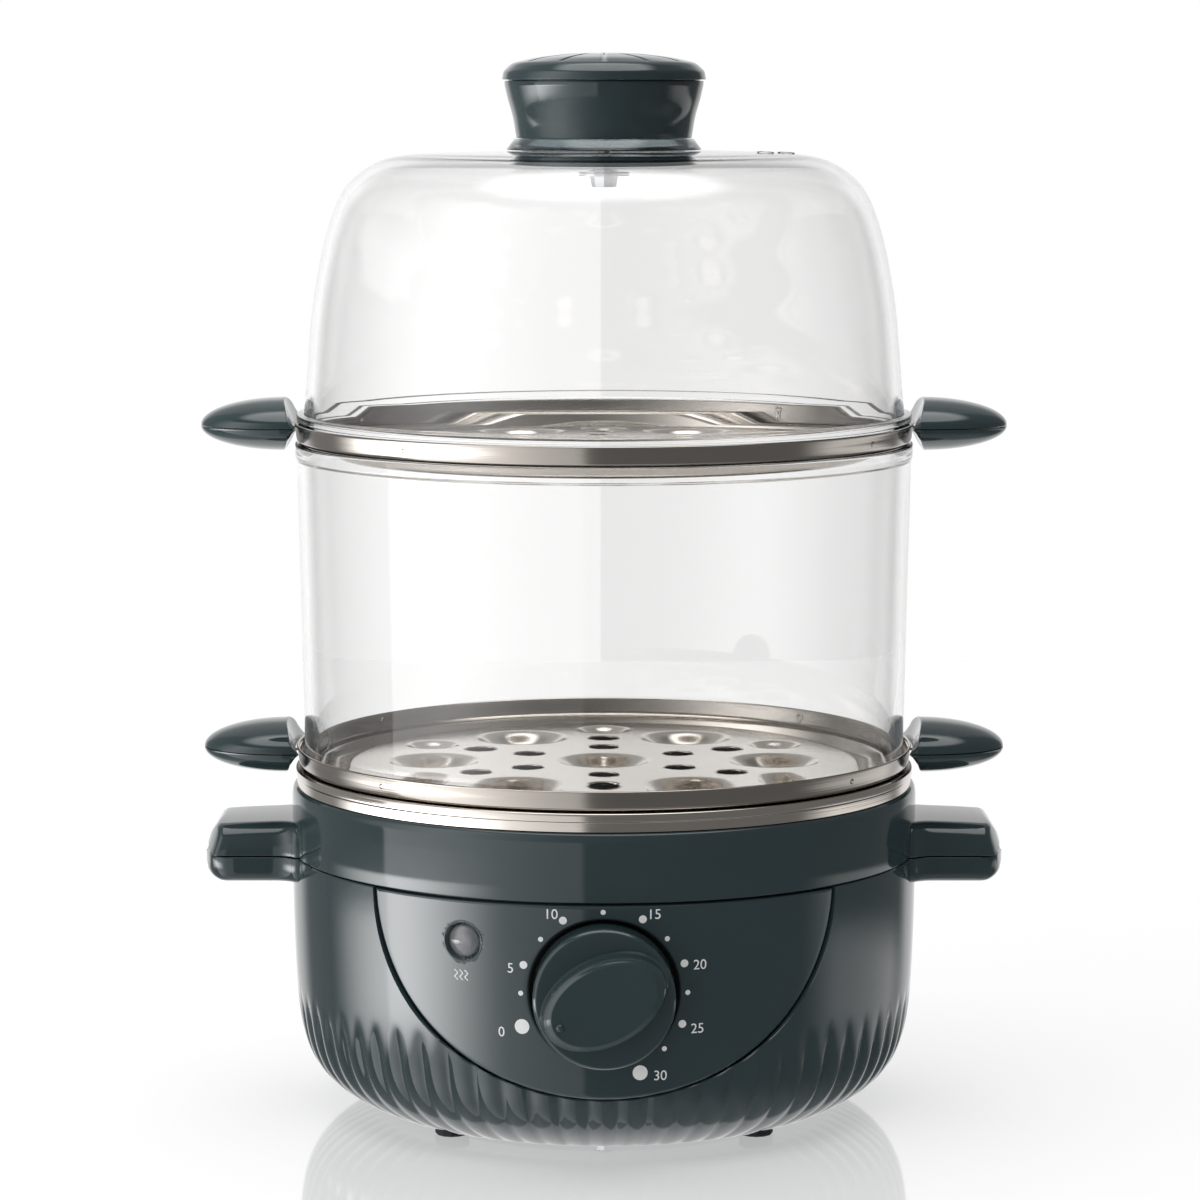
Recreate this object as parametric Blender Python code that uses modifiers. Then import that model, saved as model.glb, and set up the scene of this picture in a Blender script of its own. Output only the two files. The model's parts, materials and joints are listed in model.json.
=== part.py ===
"""Two-tier electric egg cooker, one named object for each physical piece.

Frame: origin on the pot's axis at the height that the feet stand on, +Z up, the grips along X and the dial
facing -Y. Every length below is in millimetres, and the mesh helpers turn it into metres.
"""

import math

import bmesh
import bpy
from mathutils import Matrix, Vector

MM = 0.001
GAP = 0.3                    # clearance between pieces that touch
STEPS = 32                   # facets round the large turned pieces
SMALL_STEPS = 12             # facets round small turned pieces
FRONT = (math.pi / 2, 0.0, 0.0)   # turns a piece so that its own +Z faces the front, -Y

# Base
SHELL_R = 86.9               # outside of the housing and the ring
WALL = 2.5
SEAM_Z = 72.0                # between the housing and the ring
FLOOR_Z = 2.2                # underside of the housing
RING_TOP_Z = 90.4
INNER_R = SHELL_R - WALL
LIP_R = 82.0                 # inside of the ring
GRIP_END = 111.1             # how far the side grips reach
GRIP_HALF = 19.0             # half their width
FOOT_R = 59.5                # ring that the feet and the housing screws lie on
FOOT_ANGLES = (46, 134, 226, 314)
COVER_ANGLES = (30, 150, 270)
COVER_SCREW_R = 50.0

# Panel and dial
PANEL_HALF_ANGLE = math.radians(45)
PANEL_DEPTH = 53.0           # from the seam down to the panel's lowest point
DIAL_Z = 48.0
DIAL_FACE_Y = -94.0
DIAL_R = 18.6
WELL_R = 19.8
WELL_FLOOR_Y = -80.5
LAMP_ANGLE = math.radians(-25.5)
LAMP_Z = 60.4

# Steamer stack
PLATE_RIM_Z = 95.6
TRAY_Z = 96.0                # top of the lower tray's floor
TRAY_PITCH = 89.7            # from the lower tray to the upper tray
TRAY_R = 85.0
SHEET = 0.8
CUP_RING_R = 47.4            # from the middle cup to the six around it
CUP_R = 11.4
CUP_DEPTH = 3.6
HOLE_R = 4.3
HOLE_RINGS = (24.2, 40.4)    # each has six steam holes
GRIP_SPLIT_Z = 100.2         # where a tray grip's two halves meet
LID_Z = 191.4                # underside of the lid's flange
KNOB_Z = 268.6


# ---------------------------------------------------------------- helpers

def collection(name):
    made = bpy.data.collections.new(name)
    bpy.context.scene.collection.children.link(made)
    return made


def clear_scene():
    for old in list(bpy.data.objects):
        bpy.data.objects.remove(old, do_unlink=True)
    for old in list(bpy.data.collections):
        bpy.data.collections.remove(old)


clear_scene()
PARTS = collection("egg_cooker")
CUTTERS = collection("cutters")

# Looks: colour, roughness, metallic, alpha
SLATE = ((0.052, 0.085, 0.092), 0.22, 0.0, 1.0)
STEEL = ((0.62, 0.58, 0.54), 0.24, 1.0, 1.0)
ZINC = ((0.55, 0.56, 0.58), 0.35, 1.0, 1.0)
CLEAR = ((0.95, 0.96, 0.97), 0.05, 0.0, 0.25)
RUBBER = ((0.02, 0.02, 0.022), 0.8, 0.0, 1.0)
SILICONE = ((0.75, 0.75, 0.72), 0.6, 0.0, 1.0)
BLACK = ((0.03, 0.03, 0.032), 0.5, 0.0, 1.0)
CREAM = ((0.75, 0.7, 0.58), 0.45, 0.0, 1.0)
BRASS = ((0.7, 0.52, 0.25), 0.3, 1.0, 1.0)
RED = ((0.45, 0.03, 0.02), 0.5, 0.0, 1.0)
BLUE = ((0.03, 0.08, 0.4), 0.5, 0.0, 1.0)


def material(name, look):
    colour, roughness, metallic, alpha = look
    made = bpy.data.materials.new(name)
    made.use_nodes = True
    shader = made.node_tree.nodes["Principled BSDF"]
    shader.inputs["Base Color"].default_value = (*colour, 1.0)
    shader.inputs["Roughness"].default_value = roughness
    shader.inputs["Metallic"].default_value = metallic
    shader.inputs["Alpha"].default_value = alpha
    made.diffuse_color = (*colour, alpha)
    return made


def place(obj, look, at=(0, 0, 0), turn=(0, 0, 0)):
    """Links a piece, or a cutter when it has no look, and puts it at a place given in millimetres."""
    obj.location = Vector(at) * MM
    obj.rotation_euler = turn
    if look is None:
        CUTTERS.objects.link(obj)
        obj.hide_render = True
        obj.display_type = "WIRE"
    else:
        PARTS.objects.link(obj)
        obj.data.materials.append(material(obj.name + "_look", look))
    return obj


def from_bmesh(name, bm, look, at=(0, 0, 0), turn=(0, 0, 0)):
    mesh = bpy.data.meshes.new(name)
    bm.to_mesh(mesh)
    bm.free()
    mesh.shade_smooth()
    mesh.set_sharp_from_angle(angle=math.radians(35))
    return place(bpy.data.objects.new(name, mesh), look, at, turn)


def turned(name, outline, look, steps=STEPS, ring=False, at=(0, 0, 0), turn=(0, 0, 0)):
    """A turned solid. The outline is (radius, height) pairs, down the outer side and back up the inner one.

    With ring the outline closes on itself. Otherwise it starts and ends on the axis.
    """
    mesh = bpy.data.meshes.new(name)
    points = [(r * MM, 0.0, z * MM) for r, z in outline]
    edges = [(i, i + 1) for i in range(len(points) - 1)]
    if ring:
        edges.append((len(points) - 1, 0))
    mesh.from_pydata(points, edges, [])
    obj = place(bpy.data.objects.new(name, mesh), look, at, turn)
    screw = obj.modifiers.new("turn", "SCREW")
    screw.steps = steps
    screw.render_steps = steps
    screw.use_merge_vertices = True
    screw.merge_threshold = 0.00001
    screw.use_smooth_shade = True
    return obj


def rod(name, radius, low, high, look, steps=SMALL_STEPS, top_radius=None, at=(0, 0, 0), turn=(0, 0, 0)):
    """A cylinder, or a cone's frustum, along the piece's own Z from low to high."""
    bm = bmesh.new()
    bmesh.ops.create_cone(
        bm, cap_ends=True, segments=steps, radius1=radius * MM,
        radius2=(radius if top_radius is None else top_radius) * MM, depth=(high - low) * MM,
        matrix=Matrix.Translation((0, 0, (low + high) / 2 * MM)),
    )
    return from_bmesh(name, bm, look, at, turn)


def box(name, low, high, look, bevel=0.0, at=(0, 0, 0), turn=(0, 0, 0)):
    """A box between two corners, with all its edges rounded when a bevel is given."""
    bm = bmesh.new()
    bmesh.ops.create_cube(bm, size=1.0)
    size = (Vector(high) - Vector(low)) * MM
    middle = (Vector(high) + Vector(low)) / 2 * MM
    bmesh.ops.scale(bm, vec=size, verts=bm.verts)
    bmesh.ops.translate(bm, vec=middle, verts=bm.verts)
    if bevel:
        bmesh.ops.bevel(bm, geom=bm.edges, offset=bevel * MM, segments=2, profile=0.5, affect="EDGES")
    return from_bmesh(name, bm, look, at, turn)


def gather(name, pieces):
    """Joins separate cutter meshes into one cutter, so that one Boolean does the work of many."""
    bm = bmesh.new()
    for piece in pieces:
        copy = piece.data.copy()
        copy.transform(Matrix.LocRotScale(piece.location, piece.rotation_euler, None))
        bm.from_mesh(copy)
        bpy.data.meshes.remove(copy)
        bpy.data.objects.remove(piece)
    return from_bmesh(name, bm, None)


def boolean(obj, tool, operation):
    step = obj.modifiers.new(tool.name, "BOOLEAN")
    step.operation = operation
    step.object = tool
    step.solver = "EXACT"
    return obj


def cut(obj, tool):
    return boolean(obj, tool, "DIFFERENCE")


def add(obj, tool):
    return boolean(obj, tool, "UNION")


def on_circle(radius, degrees):
    angle = math.radians(degrees)
    return radius * math.cos(angle), radius * math.sin(angle)


def screw_piece(name, at, turn, head_r, head_high, shank_r, shank_long):
    """A pan-head screw whose shank starts at its own origin and runs up +Z, with the head below."""
    outline = [
        (0, shank_long), (shank_r, shank_long), (shank_r, 0), (head_r, 0), (head_r * 0.8, -head_high),
        (0, -head_high),
    ]
    return turned(name, outline, ZINC, 8, at=at, turn=turn)


def wire(name, corners, radius, look):
    """A lead: a smooth curve through its corner points, read off as a poly spline."""
    fine = []
    padded = [corners[0], *corners, corners[-1]]
    for k in range(1, len(padded) - 2):
        p0, p1, p2, p3 = (Vector(p) for p in padded[k - 1:k + 3])
        for s in range(2):
            t = s / 2
            fine.append(0.5 * (2 * p1 + (p2 - p0) * t + (2 * p0 - 5 * p1 + 4 * p2 - p3) * t ** 2
                               + (3 * p1 - p0 - 3 * p2 + p3) * t ** 3))
    fine.append(Vector(corners[-1]))
    curve = bpy.data.curves.new(name, "CURVE")
    curve.dimensions = "3D"
    curve.bevel_depth = radius * MM
    curve.bevel_resolution = 2
    curve.use_fill_caps = True
    spline = curve.splines.new("POLY")
    spline.points.add(len(fine) - 1)
    for point, where in zip(spline.points, fine):
        point.co = (*(where * MM), 1.0)
    return place(bpy.data.objects.new(name, curve), look)


# ---------------------------------------------------------------- base shells

def housing_radius(z):
    """Outside of the lower housing at height z: nearly upright, then curving in to the floor."""
    drop = min(max((SEAM_Z - z) / (SEAM_Z - FLOOR_Z), 0.0), 1.0)
    return SHELL_R - 3.2 * drop ** 2 - 18.2 * drop ** 9


def panel_outer_radius(z):
    """Outside of the control panel: flush at the seam, standing proud of the bowl at its foot."""
    return SHELL_R - 0.2 - 2.1 * (SEAM_Z - z) / PANEL_DEPTH


def side_grip(name, low_z, high_z, round_by, slant, side):
    """One grip block: a cube with its long free edges rounded and its end slanted."""
    bm = bmesh.new()
    inner = 80.0
    bmesh.ops.create_cube(bm, size=1.0)
    bmesh.ops.scale(bm, vec=((GRIP_END - inner) * MM, 2 * GRIP_HALF * MM, (high_z - low_z) * MM),
                    verts=bm.verts)
    middle = Vector(((GRIP_END + inner) / 2, 0, (low_z + high_z) / 2)) * MM
    bmesh.ops.translate(bm, vec=middle, verts=bm.verts)
    free_z = (high_z if slant else low_z) * MM
    free = [e for e in bm.edges if all(abs(v.co.z - free_z) < 1e-6 for v in e.verts)]
    long_edges = [e for e in free if abs(e.verts[0].co.y - e.verts[1].co.y) < 1e-6]
    end_edges = [e for e in free if all(abs(v.co.x - GRIP_END * MM) < 1e-6 for v in e.verts)]
    chosen = long_edges if slant else long_edges + end_edges
    bmesh.ops.bevel(bm, geom=chosen, offset=round_by * MM, segments=4, profile=0.5, affect="EDGES")
    if slant:
        for v in bm.verts:
            if v.co.x > 100 * MM:
                v.co.x -= slant * MM * (v.co.z - low_z * MM) / ((high_z - low_z) * MM)
    return from_bmesh(name, bm, None, turn=(0, 0, 0 if side > 0 else math.pi))


def panel_patch(name, look, grow, inner_radius, outer_radius):
    """The half-ellipse panel's shape, bent round the pot, between two radii that depend on height.

    Its half angle shrinks to nothing as the ellipse's lower end is reached. grow makes the opening larger.
    """
    rows, columns = 7, 10
    bm = bmesh.new()
    skins = []
    for radius in (inner_radius, outer_radius):
        grid = []
        for j in range(rows + 1):
            t = 0.5 * math.pi * 0.965 * j / rows
            z = SEAM_Z - GAP / 2 + grow - (PANEL_DEPTH + 2 * grow) * math.sin(t)
            half = (PANEL_HALF_ANGLE + grow / SHELL_R) * math.cos(t)
            line = []
            for k in range(columns + 1):
                angle = half * (2 * k / columns - 1)
                r = radius(z)
                line.append(bm.verts.new((r * math.sin(angle) * MM, -r * math.cos(angle) * MM, z * MM)))
            grid.append(line)
        skins.append(grid)
    inner, outer = skins
    for j in range(rows):
        for k in range(columns):
            bm.faces.new((outer[j][k], outer[j + 1][k], outer[j + 1][k + 1], outer[j][k + 1]))
            bm.faces.new((inner[j][k], inner[j][k + 1], inner[j + 1][k + 1], inner[j + 1][k]))
        bm.faces.new((outer[j][0], inner[j][0], inner[j + 1][0], outer[j + 1][0]))
        bm.faces.new((outer[j][-1], outer[j + 1][-1], inner[j + 1][-1], inner[j][-1]))
    for k in range(columns):
        bm.faces.new((outer[0][k], outer[0][k + 1], inner[0][k + 1], inner[0][k]))
        bm.faces.new((outer[-1][k], inner[-1][k], inner[-1][k + 1], outer[-1][k + 1]))
    bmesh.ops.recalc_face_normals(bm, faces=bm.faces)
    return from_bmesh(name, bm, look)


def lower_housing():
    heights = (SEAM_Z - GAP / 2, 58, 42, 27, 16, 9.5, 5.5)
    outer = [(housing_radius(z), z) for z in heights]
    floor = [(66.0, FLOOR_Z), (54.3, FLOOR_Z), (54.3, 4.8), (46.0, 4.8), (46.0, 9.0), (57.0, 9.0)]
    inner = [(housing_radius(z) - WALL, z) for z in (11, 20, 38)]
    obj = turned("lower_housing", outer + floor + [(68.0, 7.6)] + inner + [(INNER_R, SEAM_Z - GAP / 2)],
                 SLATE, ring=True)
    for side in (1, -1):
        grip = side_grip(f"housing_grip_{side}", 63.5, SEAM_Z - GAP / 2, 4.5, 0.0, side)
        add(obj, grip)
    cut(obj, rod("housing_bore", INNER_R - 0.5, 63.2, 80, None, STEPS))
    cut(obj, panel_patch("panel_opening", None, 0.35, lambda z: 70.0, lambda z: 95.0))
    bosses = [rod("b", 5.6, 6.0, 12.0, None, at=(*on_circle(FOOT_R, a), 0)) for a in FOOT_ANGLES]
    bosses += [rod("b", 10.5, 79.0, 86.0, None, at=(0, 0, 22), turn=(-math.pi / 2, 0, 0))]
    add(obj, gather("housing_bosses", bosses))
    holes = []
    for angle in FOOT_ANGLES:
        spot = (*on_circle(FOOT_R, angle), 0)
        holes.append(turned_cutter("h",
                                   [(0, 14), (1.8, 14), (1.8, 7.5), (3.5, 7.5), (3.5, 1), (0, 1)], spot))
    for angle in COVER_ANGLES:
        holes.append(rod("h", 1.6, 3.0, 8.0, None, 8, at=(*on_circle(COVER_SCREW_R, angle), 0)))
    holes.append(rod("h", 6.1, 70.0, 90.0, None, at=(0, 0, 22), turn=(-math.pi / 2, 0, 0)))
    cut(obj, gather("housing_holes", holes))
    return obj


def turned_cutter(name, outline, at, steps=8):
    """A stepped hole as a plain mesh, so that it can be gathered with other cutters."""
    bm = bmesh.new()
    spin = [bm.verts.new((r * MM, 0, z * MM)) for r, z in outline]
    edges = [bm.edges.new((a, b)) for a, b in zip(spin, spin[1:])]
    bmesh.ops.spin(bm, geom=spin + edges, cent=(0, 0, 0), axis=(0, 0, 1), angle=2 * math.pi, steps=steps)
    bmesh.ops.remove_doubles(bm, verts=bm.verts, dist=0.00001)
    bmesh.ops.recalc_face_normals(bm, faces=bm.faces)
    return from_bmesh(name, bm, None, at)


def upper_ring():
    low = SEAM_Z + GAP / 2
    outline = [
        (84.9, RING_TOP_Z), (86.3, RING_TOP_Z - 0.5), (SHELL_R, RING_TOP_Z - 1.8), (SHELL_R, low),
        (INNER_R - 0.9, low), (INNER_R - 0.9, 70.3), (LIP_R, 70.3), (LIP_R, 82.0), (78.0, 82.0),
        (78.0, 84.4), (83.2, 84.4), (83.2, RING_TOP_Z),
    ]
    obj = turned("upper_ring", outline, SLATE, ring=True)
    for side in (1, -1):
        add(obj, side_grip(f"ring_grip_{side}", low, 81.2, 7.0, 3.0, side))
    cut(obj, rod("ring_bore", LIP_R - 0.1, 60, 81.9, None, STEPS))
    struts = []
    for angle in FOOT_ANGLES:
        spin = (0, 0, math.radians(angle))
        struts.append(box("s", (53.0, -5.5, 74.0), (83.0, 5.5, 77.5), None, turn=spin))
    add(obj, gather("ring_arms", struts))
    posts = [rod("p", 4.4, 12.3, 75.0, None, 10, at=(*on_circle(FOOT_R, a), 0)) for a in FOOT_ANGLES]
    add(obj, gather("ring_posts", posts))
    pilots = [rod("p", 1.8, 10.0, 26.0, None, 8, at=(*on_circle(FOOT_R, a), 0)) for a in FOOT_ANGLES]
    cut(obj, gather("ring_pilots", pilots))
    return obj


def control_panel():
    obj = panel_patch("control_panel", SLATE, 0.0, lambda z: housing_radius(z) - WALL, panel_outer_radius)
    hub = rod("panel_well", WELL_R + 2.0, 78.5, 92.0, None, 24, at=(0, 0, DIAL_Z), turn=FRONT)
    skin = panel_patch("panel_skin", None, -0.5, lambda z: 60.0, lambda z: panel_outer_radius(z) - 0.2)
    boolean(hub, skin, "INTERSECT")
    add(obj, hub)
    holes = [rod("w", WELL_R, -WELL_FLOOR_Y, 100.0, None, 24, at=(0, 0, DIAL_Z), turn=FRONT),
             rod("w", 4.0, 70.0, 90.0, None, at=(0, 0, DIAL_Z), turn=FRONT),
             rod("w", 4.9, 70.0, 100.0, None, 16, at=(0, 0, LAMP_Z), turn=(math.pi / 2, 0, LAMP_ANGLE))]
    holes += [rod("w", 1.7, 70.0, 90.0, None, 8, at=(x, 0, DIAL_Z), turn=FRONT) for x in (-12.5, 12.5)]
    for number, hole in enumerate(holes):
        hole.name = f"panel_hole_{number}"
        cut(obj, hole)
    return obj


def bottom_cover():
    obj = turned("bottom_cover", [(0, 4.5), (53.9, 4.5), (53.9, 2.5), (0, 2.5)], SLATE)
    holes = [rod("c", 1.7, 1.0, 6.0, None, 10,
                 at=(*on_circle(COVER_SCREW_R, a), 0)) for a in COVER_ANGLES]
    return cut(obj, gather("cover_holes", holes))


def feet_and_screws():
    for number, angle in enumerate(FOOT_ANGLES, 1):
        x, y = on_circle(FOOT_R, angle)
        foot = [(0, 4.9), (3.1, 4.9), (3.1, 1.9), (4.6, 1.9), (4.6, 0.4), (4.2, 0), (0, 0)]
        turned(f"foot_{number}", foot, RUBBER, 12, at=(x, y, 0))
        screw_piece(f"housing_screw_{number}", (x, y, 7.2), (0, 0, 0), 3.1, 2.0, 1.5, 17.0)
    for number, angle in enumerate(COVER_ANGLES, 1):
        x, y = on_circle(COVER_SCREW_R, angle)
        screw_piece(f"cover_screw_{number}", (x, y, 2.2), (0, 0, 0), 2.8, 1.3, 1.3, 5.4)


# ---------------------------------------------------------------- heating

def heating():
    top = [(0, 81.0), (68, 82.2), (75, 86.6), (79.5, 90.7), (81.6, 91.4), (82.6, PLATE_RIM_Z),
           (85.3, PLATE_RIM_Z),
           (85.8, 95.0), (85.8, RING_TOP_Z + GAP)]
    under = [(84.9, RING_TOP_Z + GAP), (84.9, 94.6), (83.3, 94.5), (82.4, 90.6), (79.9, 89.7),
             (75.4, 85.6),
             (68.3, 81.2), (0, 80.0)]
    plate = turned("heating_plate", top + under, STEEL)
    add(plate, rod("plate_stud", 2.4, 66.5, 80.5, None, 12))
    turned("plate_seal", [(82.7, 89.0), (82.7, 84.7), (79.6, 84.7), (79.6, 89.0)], SILICONE, ring=True)

    curve = bpy.data.curves.new("heater_element", "CURVE")
    curve.dimensions = "3D"
    curve.bevel_depth = 3.2 * MM
    curve.bevel_resolution = 2
    curve.use_fill_caps = True
    loop = [(*on_circle(38, 106 + 328 * k / 16), 76.5) for k in range(17)]
    ends = [(-12.5, 46.0, 74.5), (-13.5, 52.0, 70.0)]
    points = [ends[1], ends[0], *loop, (-ends[0][0], *ends[0][1:]), (-ends[1][0], *ends[1][1:])]
    spline = curve.splines.new("POLY")
    spline.points.add(len(points) - 1)
    for point, where in zip(spline.points, points):
        point.co = (*(Vector(where) * MM), 1.0)
    place(bpy.data.objects.new("heater_element", curve), ZINC)

    bracket = box("heater_bracket", (-47, -7, 71.3), (47, 7, 72.9), ZINC)
    cut(bracket, rod("bracket_hole", 2.8, 70, 74, None, 12))
    nut = rod("bracket_nut", 4.6, 67.6, 71.0, ZINC, 6)
    cut(nut, rod("nut_bore", 2.7, 66, 73, None, 12))
    turned("thermostat", [(0, 79.6), (8.0, 79.6), (8.0, 76.2), (7.2, 75.8), (7.2, 70.0), (0, 70.0)],
           BLACK, 20,
           at=(0, -20, 0))
    turned("thermal_fuse", [(0, 7), (1.6, 7), (2.2, 6), (2.2, -6), (1.6, -7), (0, -7)], BRASS, 12,
           at=(22, 0, 68.6), turn=(0, math.pi / 2, 0))


# ---------------------------------------------------------------- timer, lamp and wiring

def timer():
    plate = box("timer_plate", (-20, -18, 77.0), (20, 18, 78.2), ZINC, at=(0, 0, DIAL_Z), turn=FRONT)
    holes = [rod("t", 3.8, 70, 80, None, 12, at=(0, 0, DIAL_Z), turn=FRONT)]
    holes += [rod("t", 1.7, 70, 80, None, 8, at=(x, 0, DIAL_Z), turn=FRONT) for x in (-12.5, 12.5)]
    cut(plate, gather("timer_plate_holes", holes))
    case = box("timer_case", (-20, -20, 53.0), (20, 20, 76.7), CREAM, 1.2, at=(0, 0, DIAL_Z), turn=FRONT)
    holes = [rod("t", 3.5, 58, 80, None, 12, at=(0, 0, DIAL_Z), turn=FRONT)]
    holes += [rod("t", 1.7, 68, 80, None, 8, at=(x, 0, DIAL_Z), turn=FRONT) for x in (-12.5, 12.5)]
    cut(case, gather("timer_case_holes", holes))
    turned("timer_bell",
           [(0, 52.6), (4, 52.6), (5, 51.5), (16, 51.5), (18, 50), (18, 46), (17, 46), (17, 49.5),
                          (15.6, 50.5), (0, 50.5)], ZINC, 16, at=(0, 0, DIAL_Z), turn=FRONT)
    for name, x in (("left", -12.5), ("right", 12.5)):
        screw_piece(f"timer_screw_{name}", (x, WELL_FLOOR_Y - 0.2, DIAL_Z), (-math.pi / 2, 0, 0), 2.6,
                    1.6, 1.3, 11.0)


def dial():
    """The dial's own +Z faces the front and its origin is on its axis, level with the well's floor."""
    rise = -DIAL_FACE_Y + WELL_FLOOR_Y
    outline = [(0, rise), (DIAL_R - 0.7, rise), (DIAL_R, rise - 0.7), (DIAL_R, 1.4), (DIAL_R - 1.8, 1.4),
               (DIAL_R - 1.8, rise - 2.4), (5.2, rise - 2.4), (5.2, 0.5), (3.35, 0.5), (3.35, rise - 2.9),
               (0, rise - 2.9)]
    spot = (0, WELL_FLOOR_Y, DIAL_Z)
    disc = turned("timer_dial", outline, SLATE, 24, at=spot, turn=FRONT)
    tilt = math.radians(27)
    bm = bmesh.new()
    bmesh.ops.create_cone(bm, cap_ends=True, segments=20, radius1=1.0, radius2=1.0, depth=1.0)
    bmesh.ops.scale(bm, vec=(17.0 * MM, 11.0 * MM, 8.0 * MM), verts=bm.verts)
    bmesh.ops.translate(bm, vec=(0, 0, (rise + 2.5) * MM), verts=bm.verts)
    rim = [e for e in bm.edges if all(v.co.z > (rise + 6) * MM for v in e.verts)]
    bmesh.ops.bevel(bm, geom=rim, offset=1.2 * MM, segments=1, profile=0.5, affect="EDGES")
    bmesh.ops.rotate(bm, cent=(0, 0, 0), matrix=Matrix.Rotation(tilt, 3, "Z"), verts=bm.verts)
    add(disc, from_bmesh("dial_grip", bm, None, spot, FRONT))
    rod("timer_shaft", 3.0, -21.0, rise - 3.2, ZINC, 12, at=spot, turn=FRONT)


def lamp():
    turn = (math.pi / 2, 0, LAMP_ANGLE)
    lens = [(0, 88.6), (2.6, 88.0), (4.1, 86.7), (4.55, 85.2), (4.55, 83.0), (6.2, 83.0), (6.2, 81.6),
            (2.8, 81.6),
            (2.8, 84.6), (1.6, 86.0), (0, 86.3)]
    turned("lamp_lens", lens, CLEAR, 16, at=(0, 0, LAMP_Z), turn=turn)
    bulb = [(0, 84.6), (1.3, 84.2), (2.3, 82.6), (2.3, 72.0), (1.4, 70.6), (0, 70.6)]
    turned("neon_lamp", bulb, CLEAR, 10, at=(0, 0, LAMP_Z), turn=turn)


def wiring():
    box("terminal_block", (-13, 46.0, 9.4), (13, 60.0, 19.5), CREAM, 0.8)
    gland = [(5.8, 98.5), (6.4, 88.6), (9.4, 88.6), (9.4, 86.3), (5.7, 86.3), (5.7, 78.6), (7.4, 77.4),
             (5.4, 75.6), (3.6, 75.6), (3.6, 98.5)]
    turned("cord_gland", gland, RUBBER, 16, ring=True, at=(0, 0, 22), turn=(-math.pi / 2, 0, 0))
    wire("wire_live",
         [(-8, 45.0, 14), (-10, 30, 15), (-20, 0, 22), (-24, -34, 40), (-20, -46, 56), (-16, -52.2, 62)],
         1.1, RED)
    wire("wire_neutral",
         [(8, 45.0, 14), (14, 38, 22), (22, 48, 40), (20, 56, 60), (14.6, 56.0, 68.6)], 1.1, BLUE)
    wire("wire_switched",
         [(16, -52.2, 62), (20, -44, 62), (16, -28, 60), (4, -20, 63), (2, -20, 69.6)], 1.1, RED)
    wire("wire_heater",
         [(13.6, 0, 68.6), (8, 10, 64), (-4, 30, 62), (-12, 50, 64), (-14.6, 55.0, 67.6)], 1.1, RED)


# ---------------------------------------------------------------- trays and grips

def tray_grip(name, z, side, half):
    """Half of a boat-shaped grip: an ellipsoid cut at the split plane and hollowed to clear the tray."""
    root, reach, wide = 88.0, 23.4, 18.0
    height = 6.9 if half == "bottom" else 7.6
    split = GRIP_SPLIT_Z + z
    bm = bmesh.new()
    bmesh.ops.create_uvsphere(bm, u_segments=16, v_segments=8, radius=1.0)
    bmesh.ops.scale(bm, vec=(reach * MM, wide * MM, height * MM), verts=bm.verts)
    bmesh.ops.translate(bm, vec=(root * MM, 0, split * MM), verts=bm.verts)
    sign = 1 if half == "top" else -1
    everything = bm.verts[:] + bm.edges[:] + bm.faces[:]
    cut_z = split + sign * GAP / 2
    sliced = bmesh.ops.bisect_plane(bm, geom=everything, plane_co=(0, 0, cut_z * MM),
                                    plane_no=(0, 0, -sign),
                                    clear_outer=True)
    bmesh.ops.holes_fill(bm, edges=[e for e in sliced["geom_cut"] if isinstance(e, bmesh.types.BMEdge)])
    bmesh.ops.recalc_face_normals(bm, faces=bm.faces)
    spin = (0, 0, 0 if side > 0 else math.pi)
    obj = from_bmesh(name, bm, SLATE, turn=spin)
    cut(obj, rod(name + "_clearance", root, split - 12, split + 12, None, STEPS))
    cut(obj, box(name + "_slot", (80, -7.4, split - 0.8), (101, 7.4, split + 0.7), None, turn=spin))
    bore = turned_cutter(name + "_bore",
                         [(0, split + 5.5), (1.6, split + 5.5), (1.6, split - 3), (2.9, split - 3),
                                          (2.9, split - 12), (0, split - 12)], (0, 0, 0))
    bore.location.x = side * 96 * MM
    return cut(obj, bore)


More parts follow.
